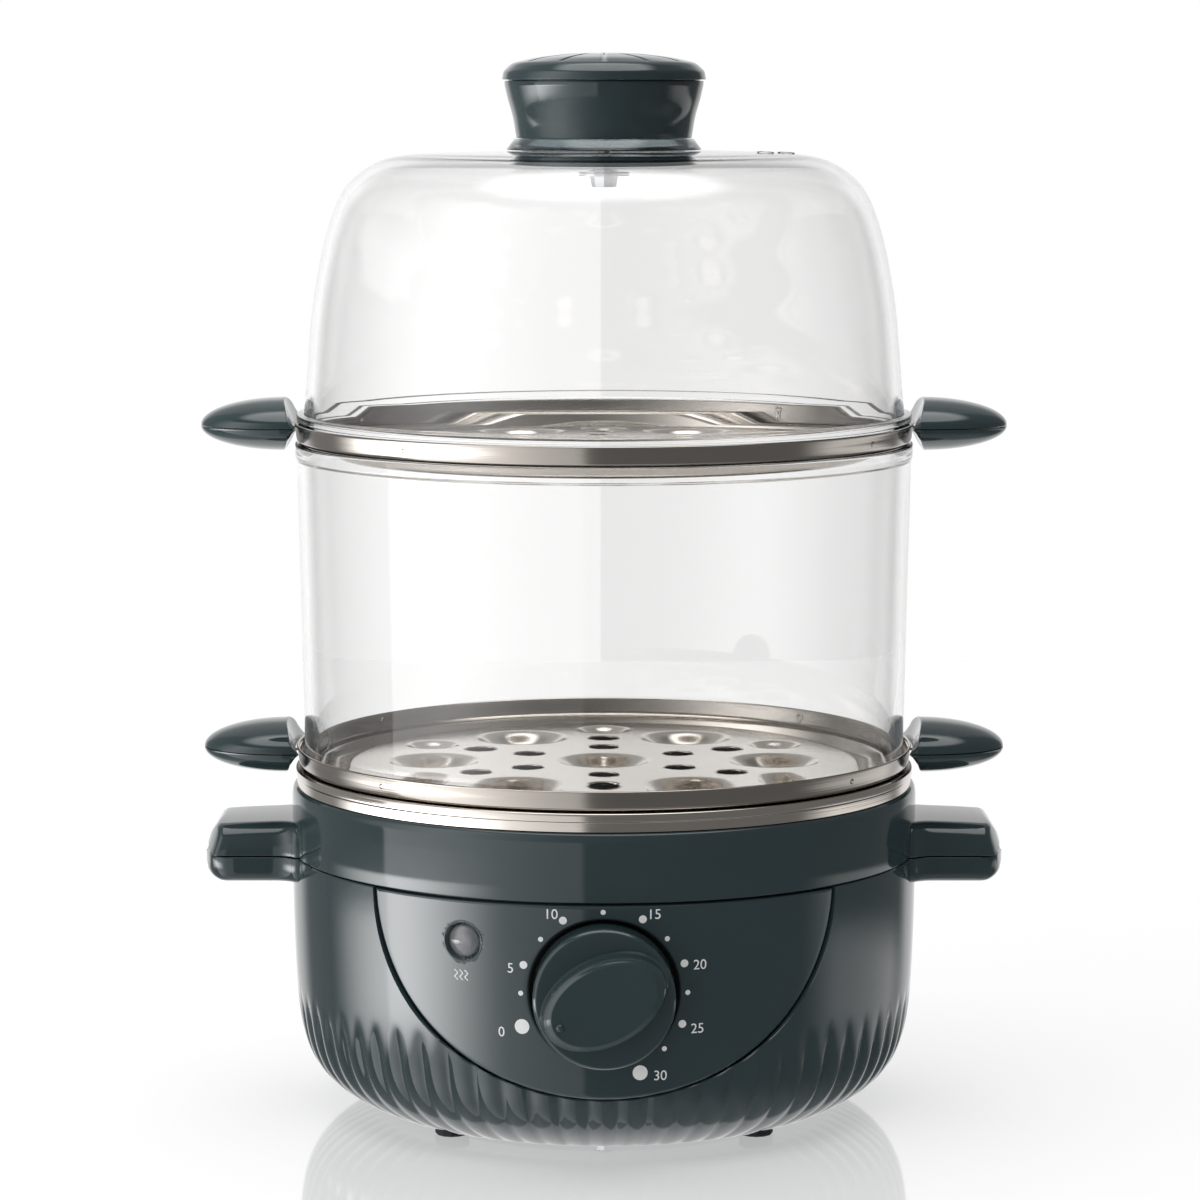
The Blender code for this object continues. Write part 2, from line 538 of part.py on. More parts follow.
def tray(name, z):
    """A pressed steel tray: rim, ledge, groove and raised floor, with cups and steam holes."""
    floor = TRAY_Z + z
    top = [(0, floor), (70.9, floor), (72.9, floor - 3.0), (78.8, floor - 3.0), (79.8, floor + 0.9),
           (84.2, floor + 1.0), (84.2, floor + 5.4)]
    under = [(TRAY_R, floor + 5.4), (TRAY_R, floor + 0.3), (80.4, floor), (79.4, floor - SHEET - 3.0),
             (72.5, floor - SHEET - 3.0), (70.5, floor - SHEET), (0, floor - SHEET)]
    obj = turned(name, list(reversed(top + under)), STEEL)
    obj.modifiers["turn"].use_normal_flip = True
    for side, word in ((1, "right"), (-1, "left")):
        tab = box(f"{name}_tab_{word}", (84.4, -7.0, GRIP_SPLIT_Z + z - 0.45),
                  (100.5, 7.0, GRIP_SPLIT_Z + z + 0.35),
                  None, turn=(0, 0, 0 if side > 0 else math.pi))
        add(obj, tab)
    spots = [(0.0, 0.0)] + [on_circle(CUP_RING_R, 60 * k) for k in range(6)]
    outer = [rod("c", CUP_R - 3.0, floor - CUP_DEPTH - SHEET, floor - SHEET * 0.4, None, 10,
                 CUP_R + 0.7, (x, y, 0))
             for x, y in spots]
    add(obj, gather(name + "_cups", outer))
    inner = [rod("c", CUP_R - 3.8, floor - CUP_DEPTH, floor + 0.6, None, 10, CUP_R + 0.6,
                 (x, y, 0)) for x, y in spots]
    for radius in HOLE_RINGS:
        for k in range(6):
            inner.append(rod("c", HOLE_R, floor - 2, floor + 1, None, 8,
                             at=(*on_circle(radius, 60 * k + 30), 0)))
    for side in (1, -1):
        inner.append(rod("c", 1.8, floor + 2, floor + 7, None, 8, at=(side * 96, 0, 0)))
    cut(obj, gather(name + "_holes", inner))
    for side, word in ((1, "right"), (-1, "left")):
        for half in ("top", "bottom"):
            tray_grip(f"{name}_grip_{word}_{half}", z, side, half)
        screw_piece(f"{name}_screw_{word}", (side * 96, 0, GRIP_SPLIT_Z + z - 3.3), (0, 0, 0), 2.5,
                    1.5, 1.3, 8.0)


def tier_wall():
    low, high = TRAY_Z + 1.35, TRAY_Z + TRAY_PITCH - GAP
    outline = [(85.3, high), (85.3, high - 3.8), (84.9, high - 4.3), (84.2, 149), (83.2, low),
               (81.0, low), (82.0, 149),
               (82.7, high - 4.3), (82.9, high)]
    return turned("tier_wall", outline, CLEAR, ring=True)


# ---------------------------------------------------------------- lid

def lid_dome():
    crown = [(2.9, 265.4), (44.0, 264.8), (60.0, 263.2), (66.6, 260.2), (71.2, 254.8), (76.2, 242.0),
             (80.0, 224.0), (82.7, LID_Z + 2.0), (84.9, LID_Z + 2.0), (84.9, LID_Z), (83.7, LID_Z),
             (83.7, LID_Z - 4.2)]
    inner = [(81.7, LID_Z - 4.2), (77.6, 224.0), (73.8, 241.4), (69.0, 253.6), (65.0, 258.2),
             (59.4, 260.8),
             (43.5, 262.4), (2.9, 263.0)]
    obj = turned("lid_dome", crown + inner, CLEAR, ring=True)
    vents = [rod("v", 2.0, 250, 280, None, 10, at=(x, y, 0)) for x, y in ((44, -8), (50, 0))]
    return cut(obj, gather("lid_vents", vents))


def knob():
    turned("knob_seat", [(24.4, KNOB_Z), (26.8, KNOB_Z - 2.9), (4.0, KNOB_Z - 2.9), (4.0, KNOB_Z)],
           CLEAR, 24,
           ring=True)
    base = KNOB_Z + GAP
    body = [(27.4, 284.3), (25.2, 274.8), (24.0, base), (20.4, base), (22.8, 281.0), (5.0, 281.0),
            (5.0, base),
            (1.8, base), (1.8, 284.3)]
    turned("knob_body", body, SLATE, 24, ring=True)
    cap = [(0, 292.0), (10, 291.6), (19, 290.4), (25.6, 288.8), (27.6, 286.6), (28.0, 284.6), (0, 284.6)]
    turned("knob_cap", cap, SLATE, 24)
    turned("knob_washer", [(7.0, 262.6), (7.0, 261.4), (1.9, 261.4), (1.9, 262.6)], ZINC, ring=True,
           steps=16)
    screw_piece("knob_screw", (0, 0, 261.1), (0, 0, 0), 4.0, 2.4, 1.5, 17.0)


lower_housing()
upper_ring()
control_panel()
bottom_cover()
feet_and_screws()
heating()
timer()
dial()
lamp()
wiring()
tray("lower_tray", 0.0)
tier_wall()
tray("upper_tray", TRAY_PITCH)
lid_dome()
knob()
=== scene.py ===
# %% [markdown]
# # A two-tier egg cooker
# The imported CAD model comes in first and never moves: it says where every piece is. The pieces
# below are finer surfaces laid over it, each one a formula worked out on a grid with numpy.

# %% Load the model
import json
import math

import bmesh
import bpy
import numpy as np
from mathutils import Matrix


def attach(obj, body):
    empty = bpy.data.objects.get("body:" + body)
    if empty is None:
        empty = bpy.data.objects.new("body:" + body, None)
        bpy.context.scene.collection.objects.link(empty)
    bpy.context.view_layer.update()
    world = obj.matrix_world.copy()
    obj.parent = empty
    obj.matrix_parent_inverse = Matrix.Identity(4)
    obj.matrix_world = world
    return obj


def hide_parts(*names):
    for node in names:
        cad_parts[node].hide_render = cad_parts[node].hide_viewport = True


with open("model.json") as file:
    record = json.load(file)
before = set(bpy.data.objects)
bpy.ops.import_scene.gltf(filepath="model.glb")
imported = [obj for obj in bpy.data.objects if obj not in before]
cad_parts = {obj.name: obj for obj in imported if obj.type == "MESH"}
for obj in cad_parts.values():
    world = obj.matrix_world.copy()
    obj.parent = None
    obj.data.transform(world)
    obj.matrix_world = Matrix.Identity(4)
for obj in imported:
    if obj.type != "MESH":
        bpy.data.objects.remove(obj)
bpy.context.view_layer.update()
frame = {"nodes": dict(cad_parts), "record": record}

NODES = frame["nodes"]
SLOTS = {part["node"]: part["material_slot"] for part in frame["record"]["subparts"]}
MM = 0.001
print("nodes", len(NODES))

# %% [markdown]
# ## The camera
# A product shot is taken from far away with a long lens, so that the rims stay flat ellipses. The
# lens is pitched 7 degrees down. It is made first, because it settles how fine each surface has to
# be.

# %% Camera
CAMERA_PLACE = (-0.0011, -1.173, 0.285)
CAMERA_PITCH = 7.0
camera_data = bpy.data.cameras.new("camera")
camera_data.lens = 127.5
camera_data.sensor_width = 36.0
camera = bpy.data.objects.new("camera", camera_data)
camera.location = CAMERA_PLACE
camera.rotation_euler = (math.radians(90 - CAMERA_PITCH), 0, 0)
bpy.context.collection.objects.link(camera)
bpy.context.scene.camera = camera
bpy.context.scene.view_settings.view_transform = "Standard"
print("camera", CAMERA_PLACE, "pitch", CAMERA_PITCH)

# %% [markdown]
# ## Arithmetic on node sockets
# A finish is easier to read as a formula than as a tangle of nodes. `Value` wraps one socket, and
# each operator on it adds one Math node. `Finish.node` makes any other node.


# %% Sockets as values
class Value:
    """A number that varies over a surface. Every operator adds one Math node."""

    def __init__(self, finish, socket):
        self.finish, self.socket = finish, socket

    def maths(self, operation, *others):
        made = self.finish.node("ShaderNodeMath", {"operation": operation},
                                dict(enumerate((self, *others))))
        return Value(self.finish, made.outputs[0])

    def __add__(self, other):
        return self.maths("ADD", other)

    def __sub__(self, other):
        return self.maths("SUBTRACT", other)

    def __rsub__(self, other):
        return (self * -1.0) + other

    def __mul__(self, other):
        return self.maths("MULTIPLY", other)

    def __truediv__(self, other):
        return self.maths("DIVIDE", other)

    __radd__, __rmul__ = __add__, __mul__

    def ramp(self, low, high):
        """0 below low, 1 above high, smooth in between."""
        made = self.finish.node("ShaderNodeMapRange", {"interpolation_type": "SMOOTHSTEP"},
                                {"Value": self, "From Min": low, "From Max": high})
        return Value(self.finish, made.outputs["Result"])


class Finish:
    """The nodes of one finish."""

    def __init__(self, tree):
        self.tree = tree
        tree.nodes.clear()

    def node(self, kind, settings=None, sockets=None):
        made = self.tree.nodes.new(kind)
        for key, value in (settings or {}).items():
            setattr(made, key, value)
        for key, value in (sockets or {}).items():
            value = value.socket if isinstance(value, Value) else value
            if isinstance(value, bpy.types.NodeSocket):
                self.tree.links.new(value, made.inputs[key])
            else:
                made.inputs[key].default_value = value
        return made

    def place(self):
        """The point on the piece, in its own metres."""
        where = self.node("ShaderNodeTexCoord").outputs["Object"]
        return self.node("ShaderNodeMapping", {}, {"Vector": where}).outputs["Vector"]

    def noise(self, vector, scale, detail=3.0, turn=None):
        """Cloudy noise from 0 to 1. With turn it has a fourth coordinate."""
        sockets = {"Vector": vector, "Scale": scale, "Detail": detail}
        if turn is not None:
            sockets["W"] = turn
        made = self.node("ShaderNodeTexNoise",
                         {"noise_dimensions": "3D" if turn is None else "4D"}, sockets)
        return Value(self, made.outputs["Factor" if "Factor" in made.outputs else "Fac"])

    def mix(self, amount, low, high):
        """A colour between two colours: 6, 7 and output 2 are the node's colour sockets."""
        made = self.node("ShaderNodeMix", {"data_type": "RGBA"},
                         {"Factor": amount, 6: (*low, 1.0), 7: (*high, 1.0)})
        return made.outputs[2]

    def bump(self, height, distance, strength=1.0):
        made = self.node("ShaderNodeBump", {},
                         {"Height": height, "Distance": distance, "Strength": strength})
        return made.outputs["Normal"]


def new_finish(name):
    material = bpy.data.materials.new(name)
    material.use_nodes = True
    return material, Finish(material.node_tree)


def scaled(colour, factor):
    return tuple(min(1.0, c * factor) for c in colour)


print("socket helpers ready")

# %% [markdown]
# ## Moulded plastic
# The base, the grips and the knob are injection-moulded ABS in dark slate. A polished mould leaves
# a glossy skin that is still slightly uneven, so the gloss and the colour drift a little and a
# faint orange-peel ripple bends the reflections.


# %% Moulded finishes
CLOUD_SCALE, PEEL_SCALE, GRAIN_SCALE = 28.0, 160.0, 1400.0  # noise cells per metre
PEEL_HEIGHT = 0.01


def moulded(name, colour, roughness, drift=0.08, ripple=0.001, grain_height=0.000001):
    """Plastic or rubber. Two noises make the bump.

    The colour drifts by drift either way, and the roughness lies between 0.8 and 1.2 of its value.
    """
    material, f = new_finish(name)
    where = f.place()
    cloud = f.noise(where, CLOUD_SCALE)
    peel = f.noise(where, PEEL_SCALE, 1.0)
    fine = f.noise(where, GRAIN_SCALE, 2.0)
    height = peel * ripple * PEEL_HEIGHT + fine * grain_height
    shader = f.node("ShaderNodeBsdfPrincipled", {}, {
        "Base Color": f.mix(cloud, scaled(colour, 1 - drift), scaled(colour, 1 + drift)),
        "Roughness": (cloud * 0.35 + fine * 0.65) * (roughness * 0.4) + roughness * 0.8,
        "Normal": f.bump(height, 1.0, 0.6),
    })
    f.node("ShaderNodeOutputMaterial", {}, {"Surface": shader.outputs[0]})
    return material


SLATE = (0.027, 0.045, 0.05)
slate_plastic = moulded("slate_plastic", SLATE, 0.07)
slate_inside = moulded("slate_inside", scaled(SLATE, 0.9), 0.42, ripple=0.01,
                       grain_height=0.00001)
rubber = moulded("rubber", (0.02, 0.02, 0.022), 0.7, grain_height=0.00005)
silicone = moulded("silicone", (0.7, 0.7, 0.67), 0.55)
black_plastic = moulded("black_plastic", (0.022, 0.022, 0.024), 0.45)
cream_plastic = moulded("cream_plastic", (0.72, 0.67, 0.55), 0.4)
red_insulation = moulded("red_insulation", (0.42, 0.03, 0.02), 0.45)
blue_insulation = moulded("blue_insulation", (0.03, 0.07, 0.36), 0.45)
# Near-black for the dial's gap: painted shadow.
painted_gap_shadow = moulded("painted_gap_shadow", (0.004, 0.0045, 0.005), 0.75)
white_print = moulded("white_print", (0.84, 0.85, 0.84), 0.4, drift=0.04)
print("plastics", len(bpy.data.materials))

# %% [markdown]
# ## Brushed steel
# The trays and the heating plate are spun and then brushed while they turn, so the scratches run
# round the axis. The pattern reads the radius and the height finely, and the direction round the
# axis only coarsely, which stretches each scratch into a long arc.


# %% Steel finishes
SCRATCH_SCALE, BAND_SCALE = 2600.0, 260.0  # noise cells per metre
SCRATCH_HEIGHT = 0.000016
# Where the rim's painted shade fades in, in metres from the axis.
RIM_SHADE_FROM, RIM_SHADE_TO = 0.0839, 0.0845
NEAR_AXIS = 0.0005


def brushed(name, colour, roughness, rim_shade=0.0):
    """Scratches round the axis: 4-D noise of (radius, height, x/radius) and y/radius.

    Outwards from about 84 mm from the axis, on the rim, rim_shade darkens the colour: painted
    shade.
    """
    material, f = new_finish(name)
    axes = f.node("ShaderNodeSeparateXYZ", {}, {0: f.place()})
    x, y, z = (Value(f, axes.outputs[i]) for i in range(3))
    radius = (x * x + y * y).maths("SQRT").maths("MAXIMUM", NEAR_AXIS)

    def arcs(fineness, reach):
        at = f.node("ShaderNodeCombineXYZ", {},
                    {0: radius * fineness, 1: z * fineness, 2: x / radius * reach})
        return f.noise(at.outputs[0], 1.0, 2.0, turn=y / radius * reach)

    scratch, band = arcs(SCRATCH_SCALE, 2.2), arcs(BAND_SCALE, 0.7)
    stain = f.noise(f.place(), 40.0)
    # Painted shade: the rim's colour is darkened by rim_shade.
    painted_rim_shade = radius.ramp(RIM_SHADE_FROM, RIM_SHADE_TO) * rim_shade
    shader = f.node("ShaderNodeBsdfPrincipled", {}, {
        "Base Color": f.mix(band * 0.15 + stain * 0.1 + 0.75 - painted_rim_shade,
                            scaled(colour, 0.3), scaled(colour, 1.07)),
        "Roughness": scratch * 0.08 + band * 0.03 + (roughness - 0.05),
        "Metallic": 1.0,
        "Normal": f.bump(scratch, SCRATCH_HEIGHT),
    })
    f.node("ShaderNodeOutputMaterial", {}, {"Surface": shader.outputs[0]})
    return material


def plated(name, colour, roughness):
    """Plated or tinned metal: fine random grain and faint stains."""
    material, f = new_finish(name)
    where = f.place()
    stain, grain = f.noise(where, 60.0), f.noise(where, 1500.0)
    shader = f.node("ShaderNodeBsdfPrincipled", {}, {
        "Base Color": f.mix(stain, scaled(colour, 0.85), scaled(colour, 1.1)),
        "Roughness": stain * 0.15 + grain * 0.1 + (roughness - 0.1),
        "Metallic": 1.0,
        "Normal": f.bump(grain, 0.00002, 0.6),
    })
    f.node("ShaderNodeOutputMaterial", {}, {"Surface": shader.outputs[0]})
    return material


stainless_steel = brushed("stainless_steel", (0.62, 0.575, 0.525), 0.12)
# The tray's rim gets painted shade.
tray_steel = brushed("tray_steel", (0.62, 0.575, 0.525), 0.14, rim_shade=0.42)
zinc_steel = plated("zinc_steel", (0.56, 0.57, 0.6), 0.35)
brass = plated("brass", (0.7, 0.52, 0.25), 0.3)
print("metals done")

# %% [markdown]
# ## Clear plastic
# The dome and the tier are clear polycarbonate. Light that reaches the camera is refracted, but
# for rays from the lamps the wall is simply open, because refracted shadows would need thousands
# of samples.


# %% Clear finishes
def clear(name, colour, roughness, index, milk=0.0):
    """Refracting plastic with faint moulding haze, open to rays from the lamps.

    Milk is the share of it that isn't clear.
    """
    material, f = new_finish(name)
    haze = f.noise(f.place(), 45.0)
    body = f.node("ShaderNodeBsdfPrincipled", {}, {
        "Base Color": f.mix(haze, scaled(colour, 0.99), colour),
        "Roughness": haze * 0.02 + roughness,
        "IOR": index,
        "Transmission Weight": 1.0 - milk,
    })
    opening = f.node("ShaderNodeBsdfTransparent", {},
                     {"Color": (*scaled(colour, 0.97), 1.0)})
    lamp_ray = f.node("ShaderNodeLightPath").outputs["Is Shadow Ray"]
    both = f.node("ShaderNodeMixShader", {},
                  {0: lamp_ray, 1: body.outputs[0], 2: opening.outputs[0]})
    f.node("ShaderNodeOutputMaterial", {}, {"Surface": both.outputs[0]})
    return material


clear_plastic = clear("clear_plastic", (0.975, 0.975, 0.973), 0.0, 1.42)
seat_plastic = clear("seat_plastic", (0.27, 0.33, 0.35), 0.06, 1.5)
lamp_glass = clear("lamp_glass", (0.8, 0.8, 0.82), 0.03, 1.5, milk=0.1)
FINISHES = {
    "slate_plastic": slate_inside, "stainless_steel": stainless_steel,
    "clear_plastic": clear_plastic, "lamp_glass": lamp_glass, "rubber": rubber,
    "silicone": silicone, "zinc_steel": zinc_steel, "cream_plastic": cream_plastic,
    "black_plastic": black_plastic, "brass": brass, "red_insulation": red_insulation,
    "blue_insulation": blue_insulation,
}
for node_name, node in NODES.items():
    for place in node.material_slots:
        place.material = FINISHES[SLOTS[node_name]]
print("kept nodes finished:", len(NODES))

# %% [markdown]
# ## Surfaces from grids
# A surface here is an array of points with two parameters: rows follow a profile and columns go
# round the axis. Neighbouring points make the faces. Points that fall together, such as a pole,
# are welded.


# %% Grid helpers
WELD = 2e-6  # metres


def surface(grid, loop_rows=False, loop_columns=False, flip=False):
    """Points and four-sided faces of a grid. It may close on itself either way."""
    rows, columns = grid.shape[:2]
    i, j = np.meshgrid(np.arange(rows - (not loop_rows)),
                       np.arange(columns - (not loop_columns)), indexing="ij")
    down, right = (i + 1) % rows, (j + 1) % columns
    faces = np.stack([i * columns + j, down * columns + j, down * columns + right,
                      i * columns + right], -1).reshape(-1, 4)
    return grid.reshape(-1, 3), faces[:, ::-1] if flip else faces


def piece(name, surfaces, body, finish, nodes=(), sharp=40.0):
    """One named object from surfaces in millimetres: welded, smooth, riding on a body."""
    points, faces, start = [], [], 0
    for some_points, some_faces in surfaces:
        points.append(some_points)
        faces.append(some_faces + start)
        start += len(some_points)
    mesh = bpy.data.meshes.new(name)
    mesh.from_pydata((np.concatenate(points) * MM).tolist(), [], np.concatenate(faces).tolist())
    bm = bmesh.new()
    bm.from_mesh(mesh)
    bmesh.ops.remove_doubles(bm, verts=bm.verts, dist=WELD)
    bm.to_mesh(mesh)
    bm.free()
    mesh.shade_smooth()
    mesh.set_sharp_from_angle(angle=math.radians(sharp))
    made = bpy.data.objects.new(name, mesh)
    bpy.context.collection.objects.link(made)
    mesh.materials.append(finish)
    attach(made, body)
    if nodes:
        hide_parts(*nodes)
    print(name, "faces", len(mesh.polygons))
    return made


def rounded(corners, closed=True, steps=5):
    """Outline through corners (radius, height, cut), each cut off by a small curve.

    The curve is (1-t)^2 s + 2t(1-t) p + t^2 e, where s and e lie one cut before and after the
    corner p.
    """
    corners = np.array(corners, float)
    p, cut = corners[:, :2], corners[:, 2:]
    back, ahead = np.roll(p, 1, 0) - p, np.roll(p, -1, 0) - p
    s = p + back / np.linalg.norm(back, axis=1, keepdims=True) * cut
    e = p + ahead / np.linalg.norm(ahead, axis=1, keepdims=True) * cut
    t = np.linspace(0, 1, steps)[None, :, None]
    curve = (1 - t) ** 2 * s[:, None] + 2 * t * (1 - t) * p[:, None] + t ** 2 * e[:, None]
    if not closed:
        curve[0], curve[-1] = p[0], p[-1]
    line = curve.reshape(-1, 2)
    far = np.linalg.norm(line - np.roll(line, 1, 0), axis=1) > 1e-4
    return line[far]


def spread(line, widest=4.0):
    """The same outline with extra points, so that no step along it is longer than widest."""
    gaps = np.linalg.norm(np.diff(line, axis=0), axis=1)
    at = np.concatenate([[0], np.cumsum(gaps)])
    counts = np.maximum(1, np.ceil(gaps / widest)).astype(int)
    inside = [np.linspace(at[k], at[k + 1], count, endpoint=False)
              for k, count in enumerate(counts)]
    where = np.append(np.concatenate(inside), at[-1])
    return np.stack([np.interp(where, at, line[:, 0]), np.interp(where, at, line[:, 1])], -1)


def turned(line, columns=288):
    """Surface of revolution: (r sin a, -r cos a, z). Angles run from the front to the right."""
    a = np.arange(columns) * 2 * math.pi / columns
    r, z = line.T
    return np.stack([np.outer(r, np.sin(a)), -np.outer(r, np.cos(a)),
                     np.repeat(z[:, None], columns, 1)], -1)


def facing_front(grid, y, z):
    """Turns a grid made round +Z so that it faces -Y, with its zero at the given place."""
    return np.stack([grid[..., 0], y - grid[..., 2], z + grid[..., 1]], -1)


def smoothstep(low, high, x):
    t = np.clip((x - low) / (high - low), 0, 1)
    return t * t * (3 - 2 * t)


print("grid helpers ready")

# %% [markdown]
# ## The housing
# The bowl is one moulding. Its side rolls under near the foot, and below mid-height 68 shallow
# reeds fade in. The front has a half-oval opening for the panel, so each column of the grid starts
# at its own height: at the seam round the back, and on the oval's edge within 45 degrees of the
# front.

# %% Housing sizes
SHELL_R = 86.9
WALL = 2.5
SEAM_Z = 72.0
SEAM_GAP = 0.15
FLOOR_Z = 2.2
REEDS = 68
REED_DEPTH = 0.9
GROOVE_ANGLE = math.radians(2.3)
PANEL_HALF_ANGLE = math.radians(45)
PANEL_DEPTH = 53.0
EDGE = 0.35
INNER_FLOOR_Z = 14.0
UNDERSIDE = ((64.2, 2.0), (54.3, 2.0), (54.3, 4.8), (46.0, 4.8),
             (46.0, 9.0), (57.0, 9.0), (68.0, 10.0))  # radius and height, from the foot inwards
GRIP_LOW, GRIP_HIGH = 64.6, 81.2
GRIP_HALF = 19.0
GRIP_ROOT, GRIP_NECK, GRIP_END = 82.5, 92.0, 111.1  # distances from the axis
GRIP_BOW = 3.6
GRIP_FLARE = 3.0


def housing_radius(z):
    """The bowl's radius: 86.9 - 3.2 d^2 - 18.2 d^9.

    Here d runs from 0 at the seam to 1 at the floor.
    """
    drop = np.clip((SEAM_Z - z) / (SEAM_Z - FLOOR_Z), 0, 1)
    return SHELL_R - 3.2 * drop ** 2 - 18.2 * drop ** 9


def reeds(a, z):
    """Depth of the reeding: a parabola across each reed, deepest in the grooves."""
    across = (((a - GROOVE_ANGLE) * REEDS / (2 * math.pi)) % 1.0) * 2 - 1
    return REED_DEPTH * across ** 2 * smoothstep(36, 25, z)


def grip_block(side, low, high, cut_low, cut_high, slant, end_cut):
    """A side grip: rounded rectangles carried outwards, from a flared root to a rolled end.

    Near the end each point is pulled in by slant * height share + bow * (y / half)^2.
    """
    roll = end_cut * np.sin(np.linspace(0.2, 1, 7) * math.pi / 2)
    out = np.concatenate([np.linspace(GRIP_ROOT, GRIP_NECK, 12),
                          np.linspace(GRIP_NECK + 3, GRIP_END - end_cut, 6),
                          GRIP_END - end_cut + roll])
    curl = ((out - GRIP_END + end_cut) / end_cut).clip(0, 1)
    inset = end_cut * (1 - np.sqrt(1 - curl ** 2)) * 0.8
    flare = GRIP_FLARE * np.clip((GRIP_NECK - 0.5 - out) / 6.5, 0, 1) ** 2.5

    def pulled(x, section):
        lean = slant * smoothstep(100, GRIP_END, x) * (section[:, 1] - low) / (high - low)
        bow = GRIP_BOW * smoothstep(GRIP_NECK, GRIP_END, x) * (section[:, 0] / GRIP_HALF) ** 2
        return np.stack([side * (x - lean - bow), side * section[:, 0], section[:, 1]], -1)

    sections = []
    for x, shrink, wide in zip(out, inset, flare):
        half = GRIP_HALF - shrink + wide
        top = high - shrink * (cut_high > 1) - 0.9 * (x - 86) / 25 * (slant > 0)
        bottom = low + shrink * (cut_low > 1)
        section = rounded([(half, bottom, cut_low), (-half, bottom, cut_low),
                           (-half, top, cut_high), (half, top, cut_high)], steps=9)
        sections.append(pulled(x, section))
    middle = section.mean(0)
    for share in (0.85, 0.6, 0.3, 0.0):
        sections.append(pulled(GRIP_END, middle + (section - middle) * share))
    return surface(np.array(sections), loop_columns=True)


seam_and_floor = np.array([SEAM_Z, FLOOR_Z])
print("radius at the seam and floor", housing_radius(seam_and_floor).round(1))

# %% Housing shell
sector = PANEL_HALF_ANGLE * np.sin(np.linspace(-1, 1, 191) * math.pi / 2)
around = np.linspace(PANEL_HALF_ANGLE, 2 * math.pi - PANEL_HALF_ANGLE, 541)[1:-1]
angle = np.concatenate([sector, around])
top_z = np.full(angle.shape, SEAM_Z - SEAM_GAP)
in_front = np.sqrt(np.clip(1 - (sector / PANEL_HALF_ANGLE) ** 2, 0, 1))
top_z[:len(sector)] -= (PANEL_DEPTH - SEAM_GAP) * in_front


def housing_rows():
    """Radii and heights of every row: down outside, in along the floor, up inside."""
    rows = []
    for share in np.linspace(0, 1, 46) ** 0.8:
        z = top_z - EDGE - (top_z - EDGE - FLOOR_Z) * share
        rows.append((housing_radius(z) - reeds(angle, z), z))
    for r, z in UNDERSIDE:
        rows.append((np.full(angle.shape, r), np.full(angle.shape, z)))
    for share in np.linspace(0, 1, 6):
        z = INNER_FLOOR_Z + (top_z - EDGE - INNER_FLOOR_Z) * share
        rows.append((housing_radius(z) - WALL, z))
    rows.append((housing_radius(top_z) - WALL + EDGE, top_z))
    rows.append((housing_radius(top_z) - EDGE - reeds(angle, top_z), top_z))
    return np.array(rows)


rows = housing_rows()
shell_grid = np.stack([rows[:, 0] * np.sin(angle), -rows[:, 0] * np.cos(angle), rows[:, 1]], -1)
lower_grips = [grip_block(side, GRIP_LOW, SEAM_Z - SEAM_GAP, cut_low=4.5, cut_high=0.4,
                          slant=0.0, end_cut=4.5) for side in (1, -1)]
piece("housing_shell", [surface(shell_grid, True, True), *lower_grips], "base",
      slate_plastic, ["lower_housing"])

# %% [markdown]
# ## The ring
# A second moulding carries the heating plate and the upper halves of the grips. It is turned in
# shape, so its outline is carried round the axis.

# %% Ring
ring_line = spread(rounded([
    (84.9, 90.4, 0.3), (86.4, 90.4, 1.0), (86.9, 88.4, 1.0), (86.9, 72.2, 0.3), (83.5, 72.2, 0.1),
    (83.5, 70.3, 0.1), (82, 70.3, 0.2), (82, 82, 0.2), (78, 82, 0.2), (78, 84.4, 0.2),
    (83.2, 84.4, 0.2), (83.2, 90.4, 0.2)]))
upper_grips = [grip_block(side, SEAM_Z + SEAM_GAP, GRIP_HIGH, cut_low=0.4, cut_high=7.0,
                          slant=3.0, end_cut=1.2) for side in (1, -1)]
FOOT_R = 59.5
FOOT_ANGLES = np.radians([46, 134, 226, 314])
POST_R, POST_TOP, POST_END = 4.4, 75, 12.3
post_line = rounded([(0, POST_TOP, 0), (POST_R, POST_TOP, 0.3), (POST_R, POST_END, 0.3),
                     (0, POST_END, 0)], closed=False)
posts = [surface(turned(post_line, 24) + (FOOT_R * math.sin(a), FOOT_R * math.cos(a), 0),
                 loop_columns=True) for a in FOOT_ANGLES]
piece("ring_shell", [surface(turned(ring_line, 384), True, True), *upper_grips, *posts],
      "base", slate_plastic, ["upper_ring"])

# %% [markdown]
# ## The control panel
# The panel follows the bowl's curve. Its grid is polar about the dial: it starts in the middle of
# the dial's well, climbs the well's wall, crosses the face to the half-oval edge, rolls over a
# soft lip and comes back behind. The straight line between the two edges is taken in (angle,
# height) space.

# %% Panel
DIAL_Z = 48.0
WELL_R = 19.9
WELL_FLOOR_Y = -80.5
LAMP_ANGLE = math.radians(-25.5)
LAMP_HOLE_R = 4.3
LAMP_SINK = 3.2
LAMP_Z = 60.4
PANEL_GAP = 0.3
PANEL_WALL = 2.6
LIP = 1.3
WELL_LIP = 0.35
PANEL_TOP = SEAM_Z - PANEL_GAP - 0.05
WELL_FACE_R, LAMP_FACE_R, PRINT_FACE_R = 85.8, 86.2, 85.6  # the face's radius at each


def panel_radius(z):
    """Outside of the panel: 86.7 at the seam, leaning in by 2.1 over its depth."""
    return 86.7 - 2.1 * (SEAM_Z - z) / PANEL_DEPTH


def panel_point(a, z, depth):
    """The point at an angle and a height, so deep behind the panel's face."""
    r = panel_radius(z) - depth
    return np.stack([r * np.sin(a), -r * np.cos(a), z + 0 * a], -1)


